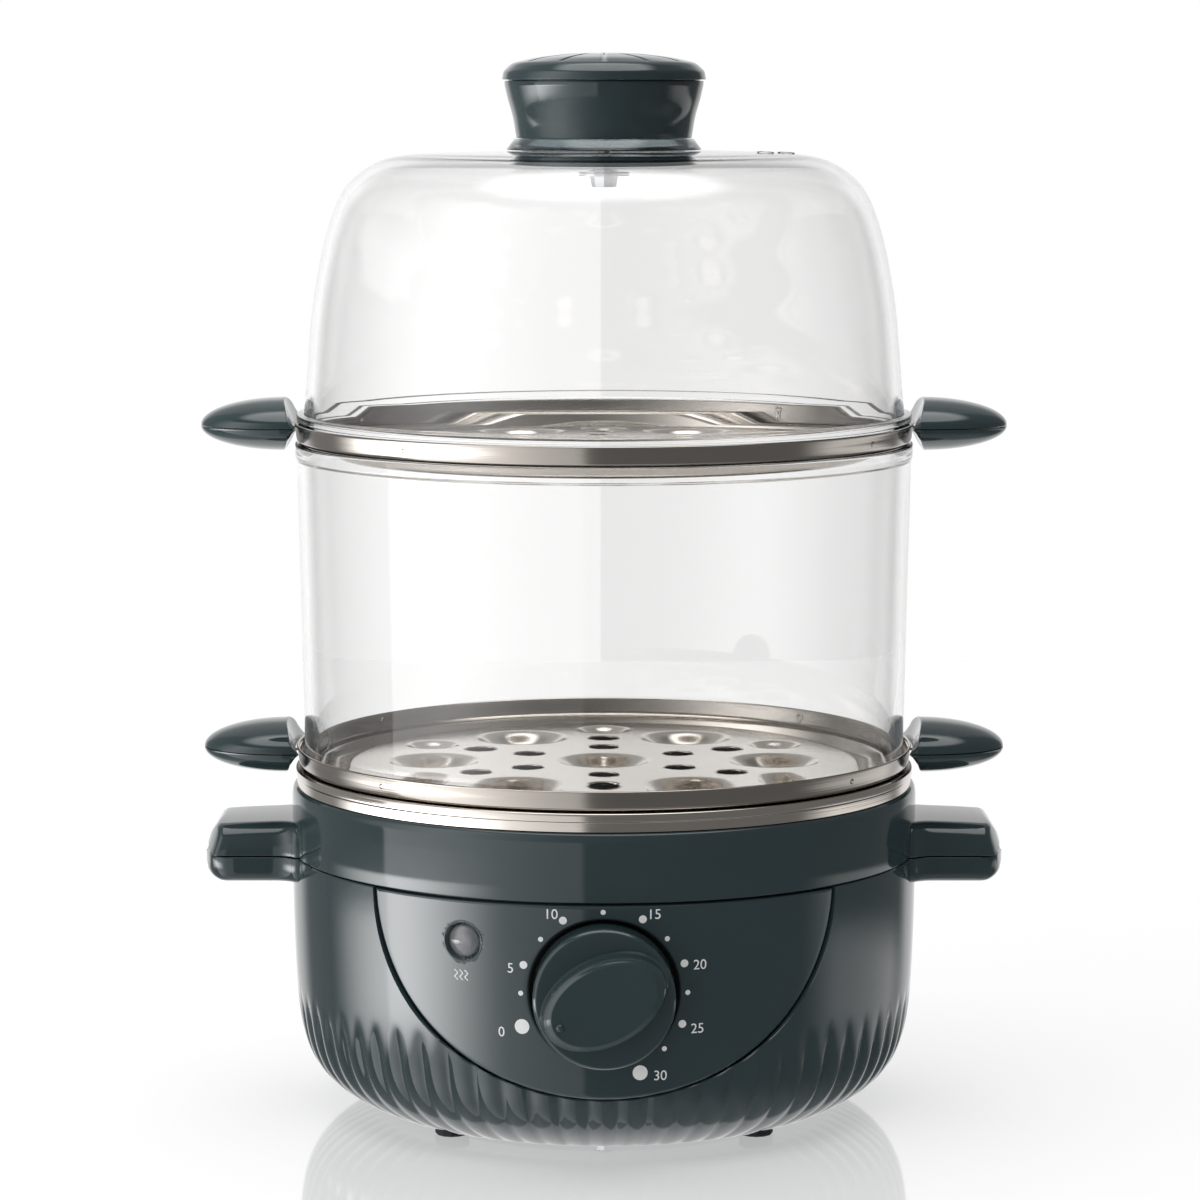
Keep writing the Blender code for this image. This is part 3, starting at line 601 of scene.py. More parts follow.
def panel_edge(turn):
    """Where a ray from the dial's centre meets the half oval or the straight top edge.

    The oval is a quadratic in the ray's length, with the coefficients qa, qb and qc.
    """
    half, depth = PANEL_HALF_ANGLE * SHELL_R - PANEL_GAP, PANEL_DEPTH - PANEL_GAP
    c, s = np.cos(turn), np.sin(turn)
    k = DIAL_Z - SEAM_Z
    qa = (c / half) ** 2 + (s / depth) ** 2
    qb = 2 * k * s / depth ** 2
    qc = (k / depth) ** 2 - 1
    oval = (-qb + np.sqrt(qb ** 2 - 4 * qa * qc)) / (2 * qa)
    straight = np.where(s > 1e-6, (PANEL_TOP - DIAL_Z) / np.maximum(s, 1e-6), 1e9)
    reach = np.minimum(oval, straight)
    return reach * c / SHELL_R, DIAL_Z + reach * s


def panel_grid():
    """The panel's rows, and the rows of a near-black lining in its well: painted shadow in the
    dial's gap.
    """
    corner = math.atan2(PANEL_TOP - DIAL_Z, PANEL_HALF_ANGLE * SHELL_R - PANEL_GAP)
    near = corner + np.linspace(-0.03, 0.03, 9)
    turn = np.unique(np.concatenate([np.linspace(0, 2 * math.pi, 361)[:-1], near,
                                     math.pi - near]))
    well_a = np.arcsin(WELL_R * np.cos(turn) / WELL_FACE_R)
    well_z = DIAL_Z + WELL_R * np.sin(turn)
    edge_a, edge_z = panel_edge(turn)
    length = np.hypot((edge_a - well_a) * SHELL_R, edge_z - well_z)

    def across(from_well, depth, share=None):
        """A row on the face, at a distance from the well or, when share is given, at a share.

        A negative distance is measured back from the edge.
        """
        t = (from_well / length + (from_well < 0)) if share is None else share
        a, z = well_a + (edge_a - well_a) * t, well_z + (edge_z - well_z) * t
        return panel_point(a, z, depth)

    flat = np.stack([WELL_R * np.cos(turn), np.full(turn.shape, WELL_FLOOR_Y), well_z], -1)
    centre = np.array([0, WELL_FLOOR_Y, DIAL_Z])
    grid = [centre + (flat - centre) * share for share in (0.0, 0.5, 0.98, 1.0)]
    lip_row = across(0.0, 0.45)
    grid += [flat * 0.04 + lip_row * 0.96, across(0.0, 0.3), across(0.12, 0.1),
             across(WELL_LIP, 0.0)]
    for share in np.linspace(0.03, 0.97, 60):
        grid.append(across(0, 0.0, WELL_LIP / length + share * (1 - (WELL_LIP + LIP) / length)))
    for back in np.linspace(1, 0, 8)[:-1] ** 1.4:
        grid.append(across(-max(LIP * back, 1e-3), LIP * (1 - math.sqrt(1 - (1 - back) ** 2))))
    grid += [across(-1e-3, LIP), across(-0.05, PANEL_WALL), across(0, PANEL_WALL, 0.6),
             across(0, PANEL_WALL, 0.08)]
    behind_well = np.array([0, 2.2, 0])
    grid += [centre + (flat - centre) * 1.09 + behind_well,
             np.broadcast_to(centre + behind_well, flat.shape)]
    middle, lip = np.broadcast_to(centre, flat.shape), across(0.0, 0.5)
    axis = np.array([0, 0, DIAL_Z])
    # A near-black sheet in the well's gap: painted shadow where the dial meets the panel.
    shadow_lining = [axis + (row - axis) * (size, 1, size) + (0, out, 0) for row, size, out in (
        (middle, 1, -0.12), (flat, 0.99, -0.12), (lip, 0.99, 0),
        (lip, 0.998, 0), (flat, 0.998, -0.02), (middle, 1, -0.02))]
    return np.array(grid), np.array(shadow_lining)


bezel_line = rounded([(5.75, -1.2, 0.1), (5.75, 0.1, 0.2), (5.3, 0.12, 0.2), (4.8, -0.7, 0.2),
                      (4.65, -3.6, 0.1)], steps=6)
panel, shadow_lining = panel_grid()
panel_turn = np.arctan2(panel[..., 0], -panel[..., 1])
lamp_distance = np.hypot((panel_turn - LAMP_ANGLE) * LAMP_FACE_R, panel[..., 2] - LAMP_Z)
sink = LAMP_SINK * (1 - smoothstep(LAMP_HOLE_R, LAMP_HOLE_R + 0.8, lamp_distance))
face_rows = slice(8, -5)
panel[face_rows, :, :2] *= 1 - (sink / LAMP_FACE_R)[face_rows, :, None]


def on_panel(local, a, z):
    """Lays points given as (right, up, out) on the panel's face, about an angle and a height."""
    height = z + local[..., 1]
    turn = a + local[..., 0] / LAMP_FACE_R
    r = panel_radius(height) + local[..., 2]
    return np.stack([r * np.sin(turn), -r * np.cos(turn), height], -1)


bezel = surface(on_panel(turned(bezel_line[::-1], 64), LAMP_ANGLE, LAMP_Z), True, True,
                flip=True)
piece("panel_plate", [surface(panel, loop_columns=True, flip=True), bezel], "base",
      slate_plastic, ["control_panel"])
# The dial's gap gets a near-black lining: painted shadow.
piece("painted_well_shadow", [surface(shadow_lining, loop_columns=True, flip=True)], "base",
      painted_gap_shadow)

# %% [markdown]
# ## The lamp
# A clear domed lens sits in its bezel, with the neon glow lamp behind it. A few shallow rings
# inside the dome scatter the light.

# %% Lamp lens
lens_line = spread(rounded([(0, 0.9, 0), (2.4, 0.6, 1.0), (4.55, -0.6, 0.6), (4.6, -4.0, 0.2),
                            (3.9, -4.0, 0.2), (3.5, -1.6, 0.4), (2.2, -0.9, 0.4),
                            (1.1, -0.7, 0.3), (0, -0.5, 0)], closed=False, steps=6), 1.0)
lens = surface(on_panel(turned(lens_line, 64), LAMP_ANGLE, LAMP_Z), loop_columns=True)
piece("lamp_dome", [lens], "base", lamp_glass, ["lamp_lens"])

# %% [markdown]
# ## The dial's print
# Dots and numbers are pad-printed in white. Each dot is a thin disc, and the numbers are text made
# a mesh, both bent onto the panel's curve a few hundredths of a millimetre proud.

# %% Dots
PRINT = 0.05
DOTS = {  # turn in degrees: (distance from the dial's axis, dot radius)
    203.4: (23.5, 2.0), 181.0: (21.8, 0.68), 161.0: (22.2, 1.05), 139.0: (21.8, 0.68),
    118.6: (22.2, 1.05), 90.7: (21.8, 0.68), 63.4: (22.2, 1.05), 41.6: (21.8, 0.68),
    20.2: (22.2, 1.05), -0.5: (21.8, 0.68), -22.7: (22.2, 1.05), -43.5: (21.8, 0.68),
    -66.0: (23.3, 2.0)}
WAVE_X, WAVE_Z = -37.4, 51.3
WAVE_STEP, WAVE_HALF, WAVE_SWING, WAVE_LENGTH, WAVE_THICK = 1.5, 1.4, 0.38, 1.9, 0.4
marks = []
for turn, (distance, dot_r) in DOTS.items():
    x, up = distance * math.cos(math.radians(turn)), distance * math.sin(math.radians(turn))
    dot_line = np.array([(0, PRINT), (dot_r * 0.6, PRINT), (dot_r, PRINT * 0.7),
                         (dot_r, -PRINT), (0, -PRINT)])
    dot = on_panel(turned(dot_line, 32), math.asin(x / PRINT_FACE_R), DIAL_Z + up)
    marks.append(surface(dot, loop_columns=True))
for offset in (-WAVE_STEP, 0.0, WAVE_STEP):
    up = np.linspace(-WAVE_HALF, WAVE_HALF, 25)
    middle = offset + WAVE_SWING * np.sin(up * 2 * math.pi / WAVE_LENGTH)
    side = WAVE_THICK / 2
    loop = [(-side, PRINT), (-side, -PRINT), (side, -PRINT), (side, PRINT)]
    strip = np.stack([np.stack([middle + dx, up, np.full(up.shape, out)], -1)
                      for dx, out in loop], 1)
    strip = np.concatenate([strip[:1].mean(1, keepdims=True).repeat(4, 1), strip,
                            strip[-1:].mean(1, keepdims=True).repeat(4, 1)])
    wave = on_panel(strip, math.asin(WAVE_X / PRINT_FACE_R), WAVE_Z)
    marks.append(surface(wave, loop_columns=True, flip=True))
piece("dial_dots", marks, "base", white_print)

# %% Numbers
LABELS = {"0": (-27.0, 36.8), "5": (-24.4, 54.1), "10": (-13.7, 69.0), "15": (12.9, 69.0),
          "20": (24.9, 55.0), "25": (24.5, 37.9), "30": (14.8, 25.7)}
TEXT_SIZE = 3.75


def printed_text(words, x, z):
    """Text as a thin closed mesh, bent onto the panel: (right, up, out) goes through on_panel."""
    curve = bpy.data.curves.new("print_text", "FONT")
    curve.body, curve.size, curve.extrude = words, TEXT_SIZE, PRINT
    curve.align_x, curve.align_y = "CENTER", "CENTER"
    flat = bpy.data.objects.new("print_text", curve)
    mesh = bpy.data.meshes.new_from_object(flat)
    local = np.empty(len(mesh.vertices) * 3)
    mesh.vertices.foreach_get("co", local)
    made = on_panel(local.reshape(-1, 3), math.asin(x / PRINT_FACE_R), z)
    mesh.vertices.foreach_set("co", (made * MM).ravel())
    bpy.data.objects.remove(flat)
    return mesh


numbers = bmesh.new()
for words, (x, z) in LABELS.items():
    numbers.from_mesh(printed_text(words, x, z))
number_mesh = bpy.data.meshes.new("dial_numbers")
bmesh.ops.remove_doubles(numbers, verts=numbers.verts, dist=WELD / 2)
numbers.to_mesh(number_mesh)
numbers.free()
dial_numbers = bpy.data.objects.new("dial_numbers", number_mesh)
bpy.context.collection.objects.link(dial_numbers)
number_mesh.materials.append(white_print)
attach(dial_numbers, "base")
print("dial_numbers faces", len(number_mesh.polygons))

# %% [markdown]
# ## The dial
# A flat disc with a chamfered edge carries an oval grip, tilted with its pointer end at the lower
# left. The grip's rim steps twice, which draws the double line round it. A small bead is the
# pointer.

# %% Dial
disc_line = spread(rounded([(0, 13.5, 0), (17.9, 13.5, 0.35), (18.6, 12.7, 0.35), (18.6, 1.4, 0.2),
                            (17, 1.4, 0.2), (17, 11.5, 0.2), (0, 11.5, 0)], closed=False))
oval_line = spread(rounded([(0, 20.0, 0), (0.86, 20.0, 0.03), (0.93, 19.3, 0.02),
                            (0.975, 19.0, 0.02),
                            (1.0, 18.2, 0.04), (1.005, 14.6, 0.5), (1.06, 13.3, 0.05),
                            (1.0, 12.5, 0), (0, 12.5, 0)], closed=False, steps=6), 1.2)
GRIP_LONG, GRIP_SHORT, GRIP_TILT = 17.0, 11.0, math.radians(27)
BEAD_R = 12.8
oval = turned(oval_line, 160)
c, s = math.cos(GRIP_TILT), math.sin(GRIP_TILT)
long_way, short_way = oval[..., 0] * GRIP_LONG, oval[..., 1] * GRIP_SHORT
oval = np.stack([long_way * c - short_way * s, long_way * s + short_way * c, oval[..., 2]], -1)
bead = turned(rounded([(0, 20.75, 0), (0.85, 20.6, 0.4), (1.15, 19.9, 0.1), (0, 19.9, 0)],
                      closed=False, steps=7), 32)
bead[..., 0] -= BEAD_R * c
bead[..., 1] -= BEAD_R * s
dial_parts = [surface(facing_front(grid, WELL_FLOOR_Y, DIAL_Z), loop_columns=True)
              for grid in (turned(disc_line, 192), oval, bead)]
piece("dial_knob", dial_parts, "dial", slate_plastic, ["timer_dial"])

# %% [markdown]
# ## The heating plate
# The dished plate holds the water. Its rim turns up and over the ring, with a fine bead pressed
# round the outer band.

# %% Plate
plate_line = spread(rounded([
    (0, 81, 0), (68, 82.2, 3.0), (75, 86.6, 2.0), (79.5, 90.7, 1.0), (81.6, 91.4, 0.6),
    (82.6, 95.6, 0.5), (85.8, 95.6, 0.7), (85.8, 93.4, 0.2), (85.5, 93.1, 0.2),
    (85.5, 90.6, 0.1), (84.9, 90.7, 0.1), (84.9, 94.7, 0.3), (83.3, 94.7, 0.3),
    (82.4, 90.6, 0.5), (79.9, 89.7, 1.0), (75.4, 85.6, 2.0), (68.3, 81.2, 2.0),
    (0, 80, 0)], closed=False))
piece("plate_dish", [surface(turned(plate_line, 320), loop_columns=True)], "base",
      stainless_steel, ["heating_plate"])

# %% [markdown]
# ## The trays
# Each tray is pressed from sheet: a middle cup and six round it for eggs, small dimples between
# them, twelve steam holes, and a ledge and a groove under the tier's foot. The floor is a height
# added to a polar grid, points near a hole's edge are moved onto it, and Solidify gives the sheet
# its thickness.

# %% Tray sizes
TRAY_Z = 96.0
TRAY_PITCH = 89.7
TRAY_R = 85.0
SHEET = 0.6
CUP_RING_R = 47.4
CUP_R = 13.2
CUP_FLAT_R = 5.5
CUP_DEPTH = 3.6
DIMPLE_R, DIMPLE_FLAT_R, DIMPLE_RING_R, DIMPLE_DEPTH = 7.5, 3.6, 56.5, 1.6
HOLE_R = 4.3
FLOOR_EDGE, FLOOR_ROWS = 69.0, 100
DENT_Z = 99.0
HOLE_RINGS = (24.2, 40.4)
SIX = np.radians(np.arange(6) * 60)


def around_axis(distance, turns):
    """Points at a distance from the axis, as (x, y), for angles from the front."""
    return [(distance * math.sin(t), -distance * math.cos(t)) for t in turns]


CUPS = [(0.0, 0.0), *around_axis(CUP_RING_R, SIX + math.radians(30))]
DIMPLES = around_axis(DIMPLE_RING_R, SIX)
HOLES = [at for ring in HOLE_RINGS for at in around_axis(ring, SIX)]


def floor_height(x, y):
    """The pressed floor: dished cups with a rounded lip, and shallow dimples."""
    height = np.zeros(x.shape)
    for cx, cy in CUPS:
        d = np.hypot(x - cx, y - cy)
        dish = 0.9 + 0.1 * np.clip(d / CUP_FLAT_R, 0, 1)
        height -= CUP_DEPTH * (1 - smoothstep(CUP_FLAT_R, CUP_R, d)) * dish
    for cx, cy in DIMPLES:
        d = np.hypot(x - cx, y - cy)
        height -= DIMPLE_DEPTH * (1 - smoothstep(DIMPLE_FLAT_R, DIMPLE_R, d))
    return height


def tray_sheet():
    """Polar grid of the tray: its floor, then the profile of ledge, groove and rim.

    The floor's circles are 0.7 apart, and points within about half of that of a hole's edge move
    onto it.
    """
    rim = spread(rounded([(69.5, 96, 0), (70.9, 96, 0.6), (72.9, 93, 0.8), (78.8, 93, 0.8),
                          (79.8, 96.4, 0.6), (84.2, 96.4, 0.8), (84.8, 101.2, 0.3),
                          (85.2, 101.4, 0)],
                         closed=False), 2.0)
    floor_r = np.linspace(0, FLOOR_EDGE, FLOOR_ROWS)
    line = np.concatenate([np.stack([floor_r, np.full(FLOOR_ROWS, TRAY_Z)], -1), rim])
    grid = turned(line, 360)
    floor_part = grid[:FLOOR_ROWS]
    floor_part[..., 2] += floor_height(floor_part[..., 0], floor_part[..., 1])
    points, faces = surface(grid, loop_columns=True)
    for cx, cy in HOLES:
        away = points[:, :2] - (cx, cy)
        d = np.linalg.norm(away, axis=1)
        near = (d > HOLE_R - 0.4) & (d < HOLE_R + 0.34)
        points[near, :2] = (cx, cy) + away[near] * (HOLE_R / d[near])[:, None]
        middle = points[faces].mean(1)
        faces = faces[np.linalg.norm(middle[:, :2] - (cx, cy), axis=1) > HOLE_R - 0.03]
    return points, faces


def rim_dent(turn):
    """A small pressed lug on the rim's outer wall."""
    cap = turned(rounded([(0, 0.55, 0), (0.9, 0.45, 0.4), (1.5, -0.1, 0.2)],
                         closed=False, steps=6), 24)
    a = turn + cap[..., 0] / TRAY_R
    r = TRAY_R - SHEET * 0.5 + cap[..., 2]
    return np.stack([r * np.sin(a), -r * np.cos(a), DENT_Z + cap[..., 1]], -1)


print("cups", len(CUPS), "dimples", len(DIMPLES), "holes", len(HOLES))

# %% [markdown]
# ## The tray grips
# A grip is two half shells screwed together over a steel tab. Each half is part of an ellipsoid,
# cut off at the root by a cylinder about the tray's axis so that it follows the rim.

# %% Tray grips
GRIP_SPLIT_Z = 100.2
ROOT_R = 88.0
ROOT_LEAN = 2.2
GRIP_REACH, GRIP_WIDE = 23.4, 18.0
GRIP_TOP, GRIP_BOTTOM = 7.6, -6.9
GRIP_GAP = 0.14


def grip_half(side, height):
    """Half an ellipsoid beyond the root cylinder: z = split + h sqrt(1 - u^2 - v^2)."""
    across = np.sin(np.linspace(-1, 1, 61) * math.pi / 2)
    y = GRIP_WIDE * across
    inner = np.sqrt(ROOT_R ** 2 - y ** 2)
    outer = ROOT_R + GRIP_REACH * np.sqrt(1 - across ** 2)
    share = np.concatenate([[0, 0.006, 0.02], np.sin(np.linspace(0.04, 1, 34) * math.pi / 2)])
    share = share[:, None]
    x = inner + (outer - inner) * share
    rise = np.sqrt(np.clip(1 - ((x - ROOT_R) / GRIP_REACH) ** 2 - across ** 2, 0, 1))
    lift = np.array([0.9, 0.97, 1.0] + [1.0] * (len(share) - 3))[:, None]
    gap = GRIP_GAP * np.sign(height)
    z = GRIP_SPLIT_Z + gap + (height - gap) * rise * lift
    top = np.stack([x, np.broadcast_to(y, x.shape), z], -1)
    base_in = np.stack([inner - ROOT_LEAN, y, np.full(y.shape, GRIP_SPLIT_Z + gap)], -1)
    base_out = np.stack([outer, y, np.full(y.shape, GRIP_SPLIT_Z + gap)], -1)
    grid = np.concatenate([base_in[None], top, base_out[None]])
    grid[..., :2] *= side
    return surface(grid, loop_rows=True, flip=height < 0)


def grip_tab(side):
    """The flat steel tab from the rim into the grip."""
    section = rounded([(7, 99.75, 0.15), (-7, 99.75, 0.15), (-7, 100.55, 0.15),
                       (7, 100.55, 0.15)])
    reach = np.array([84.4, 84.4, 90, 100.5, 100.5])
    scale = np.array([0, 1, 1, 1, 0])
    middle = section.mean(0)
    rows = []
    for x, k in zip(reach, scale):
        y, z = (middle + k * (section - middle)).T
        rows.append(np.stack([np.full(len(section), side * x), side * y, z], -1))
    return surface(np.array(rows), loop_columns=True)


def raised(part, lift):
    points, faces = part
    return points + (0, 0, lift), faces


TRAYS = {"lower_tray": (0.0, (-43.9, 51.0, 136.0, 231.0)),
         "upper_tray": (TRAY_PITCH, (-38.0, 57.0, 142.0, 237.0))}  # lift, and turns of the lugs
for tray, (lift, dents) in TRAYS.items():
    lugs = [surface(rim_dent(math.radians(turn)), loop_columns=True) for turn in dents]
    made = piece(tray + "_sheet", [raised(part, lift) for part in (tray_sheet(), *lugs)], tray,
                 tray_steel, [tray], sharp=50.0)
    thickness = made.modifiers.new("sheet", "SOLIDIFY")
    thickness.thickness, thickness.offset = SHEET * MM, -1.0
    thickness.use_even_offset = True
    piece(tray + "_tabs", [raised(grip_tab(side), lift) for side in (1, -1)], tray,
          stainless_steel)
    for side, side_name in ((-1, "left"), (1, "right")):
        for height, half_name in ((GRIP_TOP, "top"), (GRIP_BOTTOM, "bottom")):
            piece(f"{tray}_{side_name}_{half_name}", [raised(grip_half(side, height), lift)],
                  tray, slate_plastic,
                  [f"{tray}_grip_{side_name}_{half_name}"], sharp=30.0)

# %% [markdown]
# ## The tier and the dome
# Both are clear mouldings turned about the axis. The tier flares slightly and ends in a flange.
# The dome's side is drawn as a smooth curve through a few radii, and its inner face is the same
# curve moved inwards by the wall.


# %% Smooth curves
def flowing(points, steps=8):
    """A Catmull-Rom curve through points: each span is a cubic with slopes from its neighbours."""
    p = np.array(points, float)
    padded = np.concatenate([2 * p[:1] - p[1:2], p, 2 * p[-1:] - p[-2:-1]])
    t = np.linspace(0, 1, steps, endpoint=False)[None, :, None]
    a, b, c, d = (padded[k:len(padded) - 3 + k, None] for k in range(4))
    line = (2 * b + (c - a) * t + (2 * a - 5 * b + 4 * c - d) * t ** 2
            + (3 * b - a - 3 * c + d) * t ** 3) / 2
    return np.concatenate([line.reshape(-1, 2), p[-1:]])


def moved_in(line, wall):
    """The line moved to its right-hand side by the wall's thickness."""
    along = np.gradient(line, axis=0)
    along /= np.linalg.norm(along, axis=1, keepdims=True)
    return line + np.stack([along[:, 1], -along[:, 0]], -1) * wall


tier_line = spread(rounded([
    (85.3, 185.4, 0.5), (85.3, 181.6, 0.5), (84.9, 181.0, 0.3), (84.2, 149, 8.0),
    (83.2, 97.35, 0.6), (81, 97.35, 0.6), (82, 149, 8.0), (82.7, 181.1, 0.3),
    (82.9, 185.4, 0.5)]), 6.0)
piece("tier_shell", [surface(turned(tier_line, 320), True, True)], "tier",
      clear_plastic, ["tier_wall"])

# %% Dome
DOME_WALL = 2.3
dome_curve = flowing([(3.0, 265.4), (24, 265.3), (44, 264.8), (54, 264.2), (61, 262.7),
                      (66.6, 259.6), (70.8, 255.6), (73.9, 250), (76.8, 241), (78.9, 231),
                      (80.4, 221.5), (81.4, 210.5), (82.3, 199)])
dome_foot = rounded([(82.7, 196, 0), (82.9, 193.4, 0.3), (84.9, 193.4, 0.4), (84.9, 191.4, 0.4),
                     (83.7, 191.4, 0.2), (83.7, 187.2, 0.4), (81.7, 187.2, 0.4), (80.3, 196, 0)],
                    closed=False)
dome_inner = moved_in(dome_curve, DOME_WALL)[::-1]
dome_line = np.concatenate([dome_curve, dome_foot, dome_inner])
VENT_R, VENT_Z, VENT_WIDE, VENT_HIGH = 2.1, 265.0, 0.35, 0.3
VENTS = ((44.0, -8.0), (50.0, 0.0))
vents = []
for x, y in VENTS:
    tube = np.stack([VENT_R + VENT_WIDE * np.cos(SIX), VENT_Z + VENT_HIGH * np.sin(SIX)], -1)
    ring = turned(tube[::-1], 40) + (x, y, 0)
    ring[..., 2] -= 0.02 * np.clip(ring[..., 0] - 40, 0, None) ** 1.3
    vents.append(surface(ring, True, True))
piece("dome_shell", [surface(turned(dome_line, 320), True, True), *vents], "lid",
      clear_plastic, ["lid_dome"])

# %% [markdown]
# ## The knob
# The knob stands on a clear flared seat. Its body flares upwards, and a domed cap with twelve
# radial grooves closes it above a fine seam.

# %% Knob
seat_line = rounded([(22.5, 268.55, 0.2), (24.6, 268.55, 0.2), (26.9, 265.5, 0.4),
                     (22.5, 265.5, 0.2)])
piece("seat_ring", [surface(turned(seat_line, 160), True, True)], "lid",
      seat_plastic, ["knob_seat"])
body_line = spread(rounded([
    (27.35, 284.3, 0.3), (27.3, 283.2, 0.3), (26.5, 279.5, 1.5), (25.0, 274.5, 2.0),
    (24.1, 268.7, 0.3), (21.6, 268.7, 0.3), (22.6, 275, 1.0), (24.8, 286.0, 0.2),
    (26.3, 286.0, 0.2), (26.3, 284.3, 0.05)]), 3.0)
piece("knob_sleeve", [surface(turned(body_line, 200), True, True)], "lid",
      slate_plastic, ["knob_body"])
cap_line = spread(rounded([
    (0, 292, 0), (10, 291.7, 2.0), (19, 290.7, 3.0), (25.2, 289.2, 1.2), (27.6, 286.9, 0.6),
    (28.0, 284.6, 0.3), (26.8, 284.6, 0.1), (26.5, 286.7, 0.3), (0, 288.5, 0)], closed=False), 1.2)
cap = turned(cap_line, 288)
cap_a = np.arctan2(cap[..., 0], cap[..., 1])
cap_r = np.hypot(cap[..., 0], cap[..., 1])
CAP_GROOVES, GROOVE_WIDE, GROOVE_DEEP = 12, 0.32, 0.45
CAP_UNDERSIDE_Z = 289.5
aside = np.sin(cap_a * CAP_GROOVES / 2) * cap_r * 2 / CAP_GROOVES
groove = np.exp(-(aside / GROOVE_WIDE) ** 2)
window = smoothstep(4.5, 6.5, cap_r) * (1 - smoothstep(22.5, 24.0, cap_r))
cap[..., 2] -= np.where(cap[..., 2] > CAP_UNDERSIDE_Z, GROOVE_DEEP * groove * window, 0)
piece("knob_top", [surface(cap, loop_columns=True)], "lid", slate_plastic,
      ["knob_cap"])

# %% [markdown]
# ## The cord gland
# The cord would leave at the back. Only its rubber gland is here: a flange and a nose with flex
# ribs.

# %% Gland
GLAND_Y, GLAND_Z = 86.3, 22.0
RIBS = (10.6, 8.4, 6.2, 4.0)
gland_line = [(0, 12.2, 0), (5.8, 12.2, 0.4)]
for rib in RIBS:
    gland_line += [(5.95, rib, 0.2), (5.4, rib - 0.3, 0.1), (5.4, rib - 0.9, 0.1),
                   (6.1, rib - 1.2, 0.2)]
gland_line += [(6.3, 2.3, 0.4), (9.4, 2.3, 0.5), (9.4, 0, 0.2), (0, 0, 0)]
gland = turned(rounded(gland_line, closed=False), 48)
gland = np.stack([gland[..., 0], GLAND_Y + gland[..., 2], GLAND_Z - gland[..., 1]], -1)
piece("gland_sleeve", [surface(gland, loop_columns=True)], "base", rubber,
      ["cord_gland"])

# %% [markdown]
# ## The floor
# The cooker stands on a glossy white board: mostly a plain white surface, and a third of it a
# mirror, so that the bowl's reflection lies softly under it. The board is hidden from mirror rays.
# The long lens looks down, so upright walls mirror what lies below the horizon, and the sky lights
# them from there.

# %% Floor
BOARD_FRONT, BOARD_BACK, BOARD_SIDE = -0.3, 0.9, 0.45
MIRROR_SHARE, BOARD_GLOW = 0.34, 0.64
floor_mesh = bpy.data.meshes.new("floor")
floor_corners = [(-BOARD_SIDE, BOARD_FRONT, 0), (BOARD_SIDE, BOARD_FRONT, 0),
                 (BOARD_SIDE, BOARD_BACK, 0), (-BOARD_SIDE, BOARD_BACK, 0)]
floor_mesh.from_pydata(floor_corners, [], [(0, 1, 2, 3)])
floor = bpy.data.objects.new("floor", floor_mesh)
bpy.context.collection.objects.link(floor)
floor_finish, f = new_finish("white_board")
haze = f.noise(f.place(), 3.0)
WHITE = (1.0, 1.0, 1.0)
matt_colour = f.mix(haze, scaled(WHITE, 0.44), scaled(WHITE, 0.46))
matt = f.node("ShaderNodeBsdfDiffuse", {}, {"Color": matt_colour})
lit = f.node("ShaderNodeEmission", {}, {"Color": (*WHITE, 1.0), "Strength": BOARD_GLOW})
white = f.node("ShaderNodeAddShader", {}, {0: matt.outputs[0], 1: lit.outputs[0]})
gloss = f.node("ShaderNodeBsdfGlossy", {}, {"Roughness": haze * 0.02 + 0.05})
board = f.node("ShaderNodeMixShader", {},
               {0: MIRROR_SHARE, 1: white.outputs[0], 2: gloss.outputs[0]})
f.node("ShaderNodeOutputMaterial", {}, {"Surface": board.outputs[0]})
floor_mesh.materials.append(floor_finish)
floor.visible_glossy = False
print("board", BOARD_SIDE * 2, "m wide")

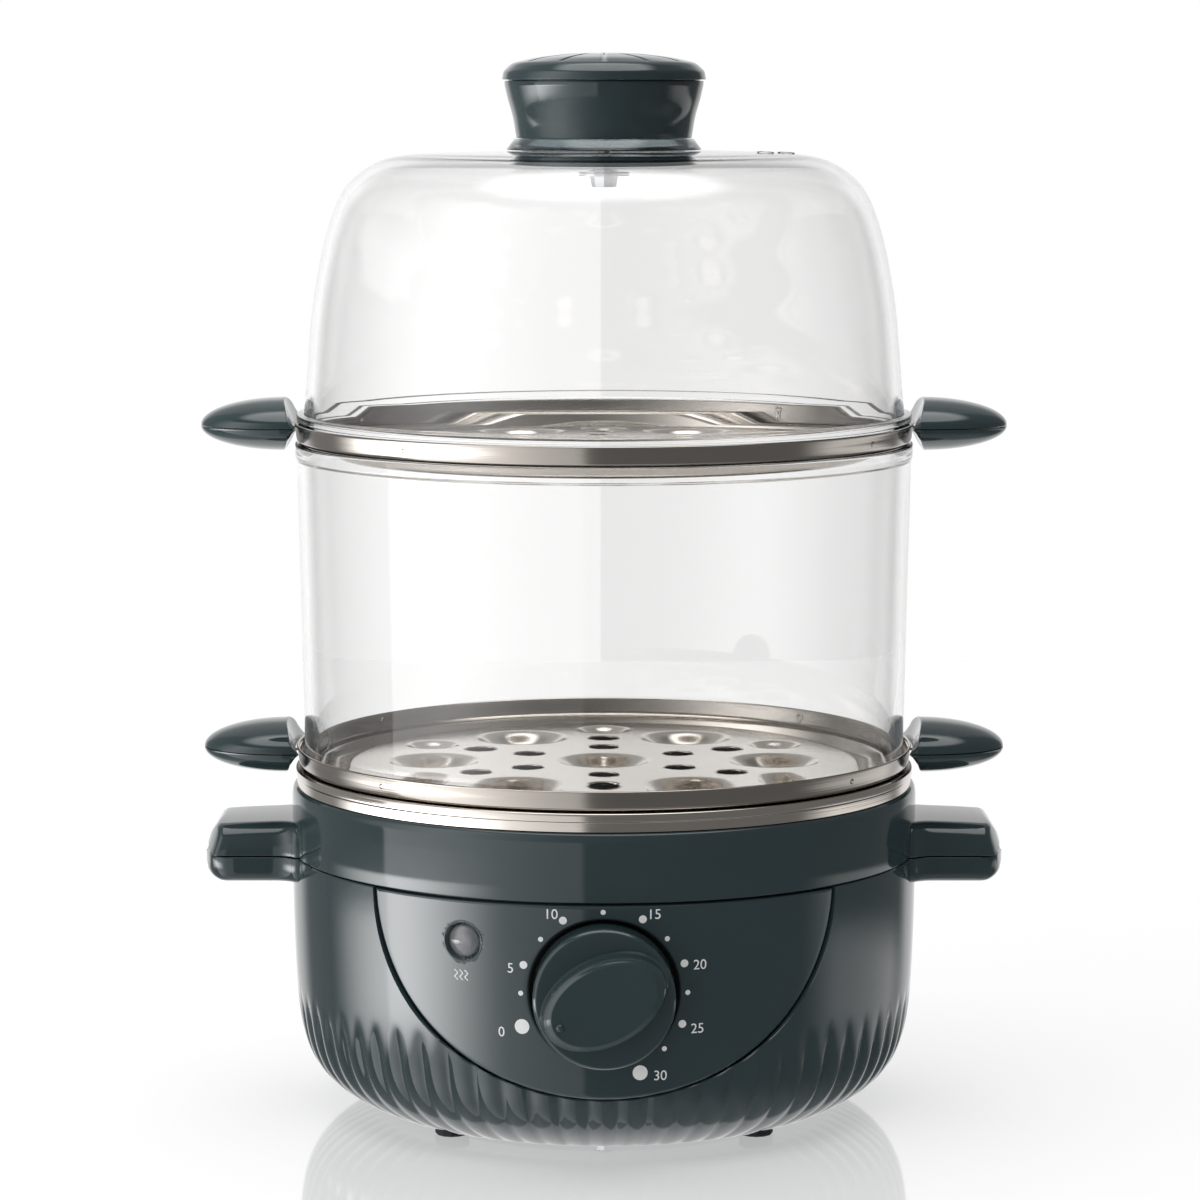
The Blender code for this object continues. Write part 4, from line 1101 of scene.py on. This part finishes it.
# %% [markdown]
# ## The light
# The studio is worked out as a sky. Two angles say where a ray goes: its turn to the right of the
# front, and its rise above the horizon. There is a bright wall behind, a wide softbox to the front
# left with sharp sides, a strong low glow to the far left, a weak one to the right, a soft light
# overhead and a dim room. Rays that came through the clear plastic see the softbox with soft sides
# and no low glow. The camera itself sees plain white beyond the board.

# %% Light
world = bpy.data.worlds.new("studio")
world.use_nodes = True
bpy.context.scene.world = world
sky = Finish(world.node_tree)
direction = sky.node("ShaderNodeTexCoord").outputs["Generated"]
axes = sky.node("ShaderNodeSeparateXYZ", {}, {0: direction})
to_x, to_y, to_z = (Value(sky, axes.outputs[i]) for i in range(3))
turn = to_x.maths("ARCTAN2", to_y * -1.0) * (180 / math.pi)
rise = to_z.maths("ARCSINE") * (180 / math.pi)
light_path = sky.node("ShaderNodeLightPath")
seen = Value(sky, light_path.outputs["Is Camera Ray"])
through = Value(sky, light_path.outputs["Transmission Depth"]).maths("MINIMUM", 1.0)


def between(angle, low, high):
    """1 between two angles, fading over the given pairs of degrees."""
    return angle.ramp(*low) * (1 - angle.ramp(*high))


high = rise.ramp(-4, 3).maths("MAXIMUM", through)
sides = between(turn, (-88, -86), (-8.5, -6.5)) * (1 - high)
soft_sides = between(turn, (-110, -60), (-60, 10)) * high
softbox = ((sides + soft_sides) * (1 - rise.ramp(42, 50)) * (2.1 - turn.ramp(-72, -12) * 1.35)
           * (rise.ramp(-62, -36) * 0.6 + 0.4))
LOW_GLOW = 9.0
glow = (between(turn, (-122, -78), (-80, -34)) * between(rise, (-25, -15), (-12.5, -10.5))
        * (1 - through) * LOW_GLOW)
right_glow = between(turn, (76, 98), (130, 150)) * between(rise, (-25, -15), (-13.5, -11.5))
behind = turn.maths("ABSOLUTE").ramp(138, 152) * (0.76 - rise.ramp(14, 28) * 0.5)
overhead = rise.ramp(56, 68) * 3.0
left_room = (1 - turn.ramp(-92, -84)) * 0.12
under = (1 - rise.ramp(-62, -34)) * 0.35
ROOM = 0.19
studio = softbox + glow + right_glow + behind + overhead + left_room + under + ROOM
strength = studio * (1 - seen) + seen
light = sky.node("ShaderNodeBackground", {}, {"Color": (*WHITE, 1.0), "Strength": strength})
sky.node("ShaderNodeOutputWorld", {}, {"Surface": light.outputs[0]})
print("studio sky ready")
